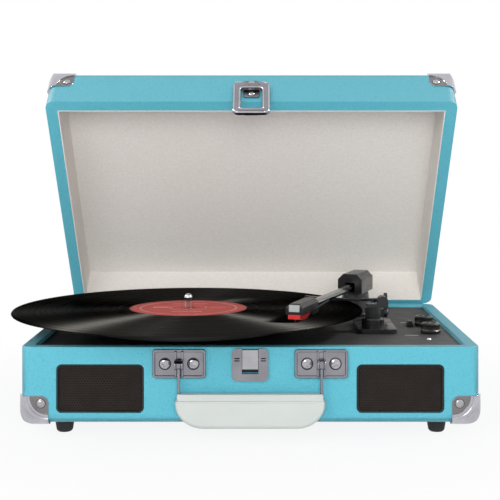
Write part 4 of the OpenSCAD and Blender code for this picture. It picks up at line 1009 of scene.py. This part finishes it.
def add_camera():
    data = bpy.data.cameras.new("camera")
    data.sensor_width = 36
    data.lens = FOCAL_PX / PHOTO_PX * data.sensor_width
    data.shift_x = (PHOTO_PX / 2 - PRINCIPAL_PX[0]) / PHOTO_PX
    data.shift_y = (PRINCIPAL_PX[1] - PHOTO_PX / 2) / PHOTO_PX
    data.clip_start = 0.05
    camera = bpy.data.objects.new("camera", data)
    camera.location = Vector(CAMERA_AT) * MM
    camera.rotation_euler = (math.radians(90), 0, 0)
    scene.collection.objects.link(camera)
    scene.camera = camera


def add_lamp(name, place, target, across, watts, mirrored=True, lit=True):
    """A round lamp; it can stay out of reflections, or light nothing but reflections."""
    data = bpy.data.lights.new(name, "AREA")
    data.shape = "DISK"
    data.size = across
    data.energy = watts
    lamp = bpy.data.objects.new(name, data)
    lamp.location = place
    lamp.rotation_euler = (Vector(target) - Vector(place)).to_track_quat("-Z", "Y").to_euler()
    lamp.visible_glossy = mirrored
    lamp.visible_diffuse = lit
    scene.collection.objects.link(lamp)


def white_rays(tree):
    """1 for rays that see the white ground: from the camera, through glass or off a gloss."""
    path = tree.nodes.new("ShaderNodeLightPath")
    seen = path.outputs["Is Camera Ray"]
    for ray in ("Is Transmission Ray", "Is Glossy Ray"):
        node = tree.nodes.new("ShaderNodeMath")
        node.operation = "MAXIMUM"
        tree.links.new(seen, node.inputs[0])
        tree.links.new(path.outputs[ray], node.inputs[1])
        seen = node.outputs["Value"]
    return seen


def add_world(ambient):
    """White behind the object and in its reflections, with an even, lower light on it."""
    world = bpy.data.worlds.new("studio")
    world.use_nodes = True
    scene.world = world
    tree = world.node_tree
    background = tree.nodes["Background"]
    background.inputs["Color"].default_value = (1, 1, 1, 1)
    strength = tree.nodes.new("ShaderNodeMapRange")
    strength.inputs["To Min"].default_value = ambient
    strength.inputs["To Max"].default_value = 1.0
    tree.links.new(white_rays(tree), strength.inputs["Value"])
    tree.links.new(strength.outputs["Result"], background.inputs["Strength"])


def add_floor():
    """A pale floor that takes the shadow near the object and turns white further off."""
    half_side, near, far, near_share = 6, 0.15, 0.45, 0.88
    bm = bmesh.new()
    bmesh.ops.create_grid(bm, x_segments=8, y_segments=8, size=half_side)
    mesh = bpy.data.meshes.new("floor")
    bm.to_mesh(mesh)
    bm.free()
    finish = Finish("floor", srgb(248, 248, 248), roughness=0.9)
    finish.vary_color(finish.noise(0.3, 3), 0.99, 1.0)
    glow = finish.add("ShaderNodeEmission")
    glow.inputs["Strength"].default_value = 1.0
    mix = finish.add("ShaderNodeMixShader")
    share = finish.remap(finish.length(finish.place), near, far, near_share, 1.0)
    finish.join(finish.math("MULTIPLY", share, white_rays(finish.tree)), mix.inputs["Fac"])
    finish.join(finish.shader.outputs["BSDF"], mix.inputs[1])
    finish.join(glow.outputs["Emission"], mix.inputs[2])
    output = finish.tree.nodes["Material Output"]
    finish.join(mix.outputs["Shader"], output.inputs["Surface"])
    mesh.materials.append(finish.material)
    floor = bpy.data.objects.new("floor", mesh)
    scene.collection.objects.link(floor)


scene.view_settings.view_transform = "Standard"
add_camera()
add_floor()
add_world(ambient=0.41)
add_lamp("key", (-0.7, -1.5, 0.85), (0, 0, 0.1), across=0.9, watts=7)
add_lamp("front", (0.1, -1.9, 0.45), (0, 0, 0.2), across=0.85, watts=18, mirrored=False)
add_lamp("left", (-1.3, 0.0, 1.05), (0, 0, 0.1), across=0.35, watts=45, lit=False)
add_lamp("right", (1.3, 0.0, 1.05), (0, 0, 0.1), across=0.35, watts=45, lit=False)
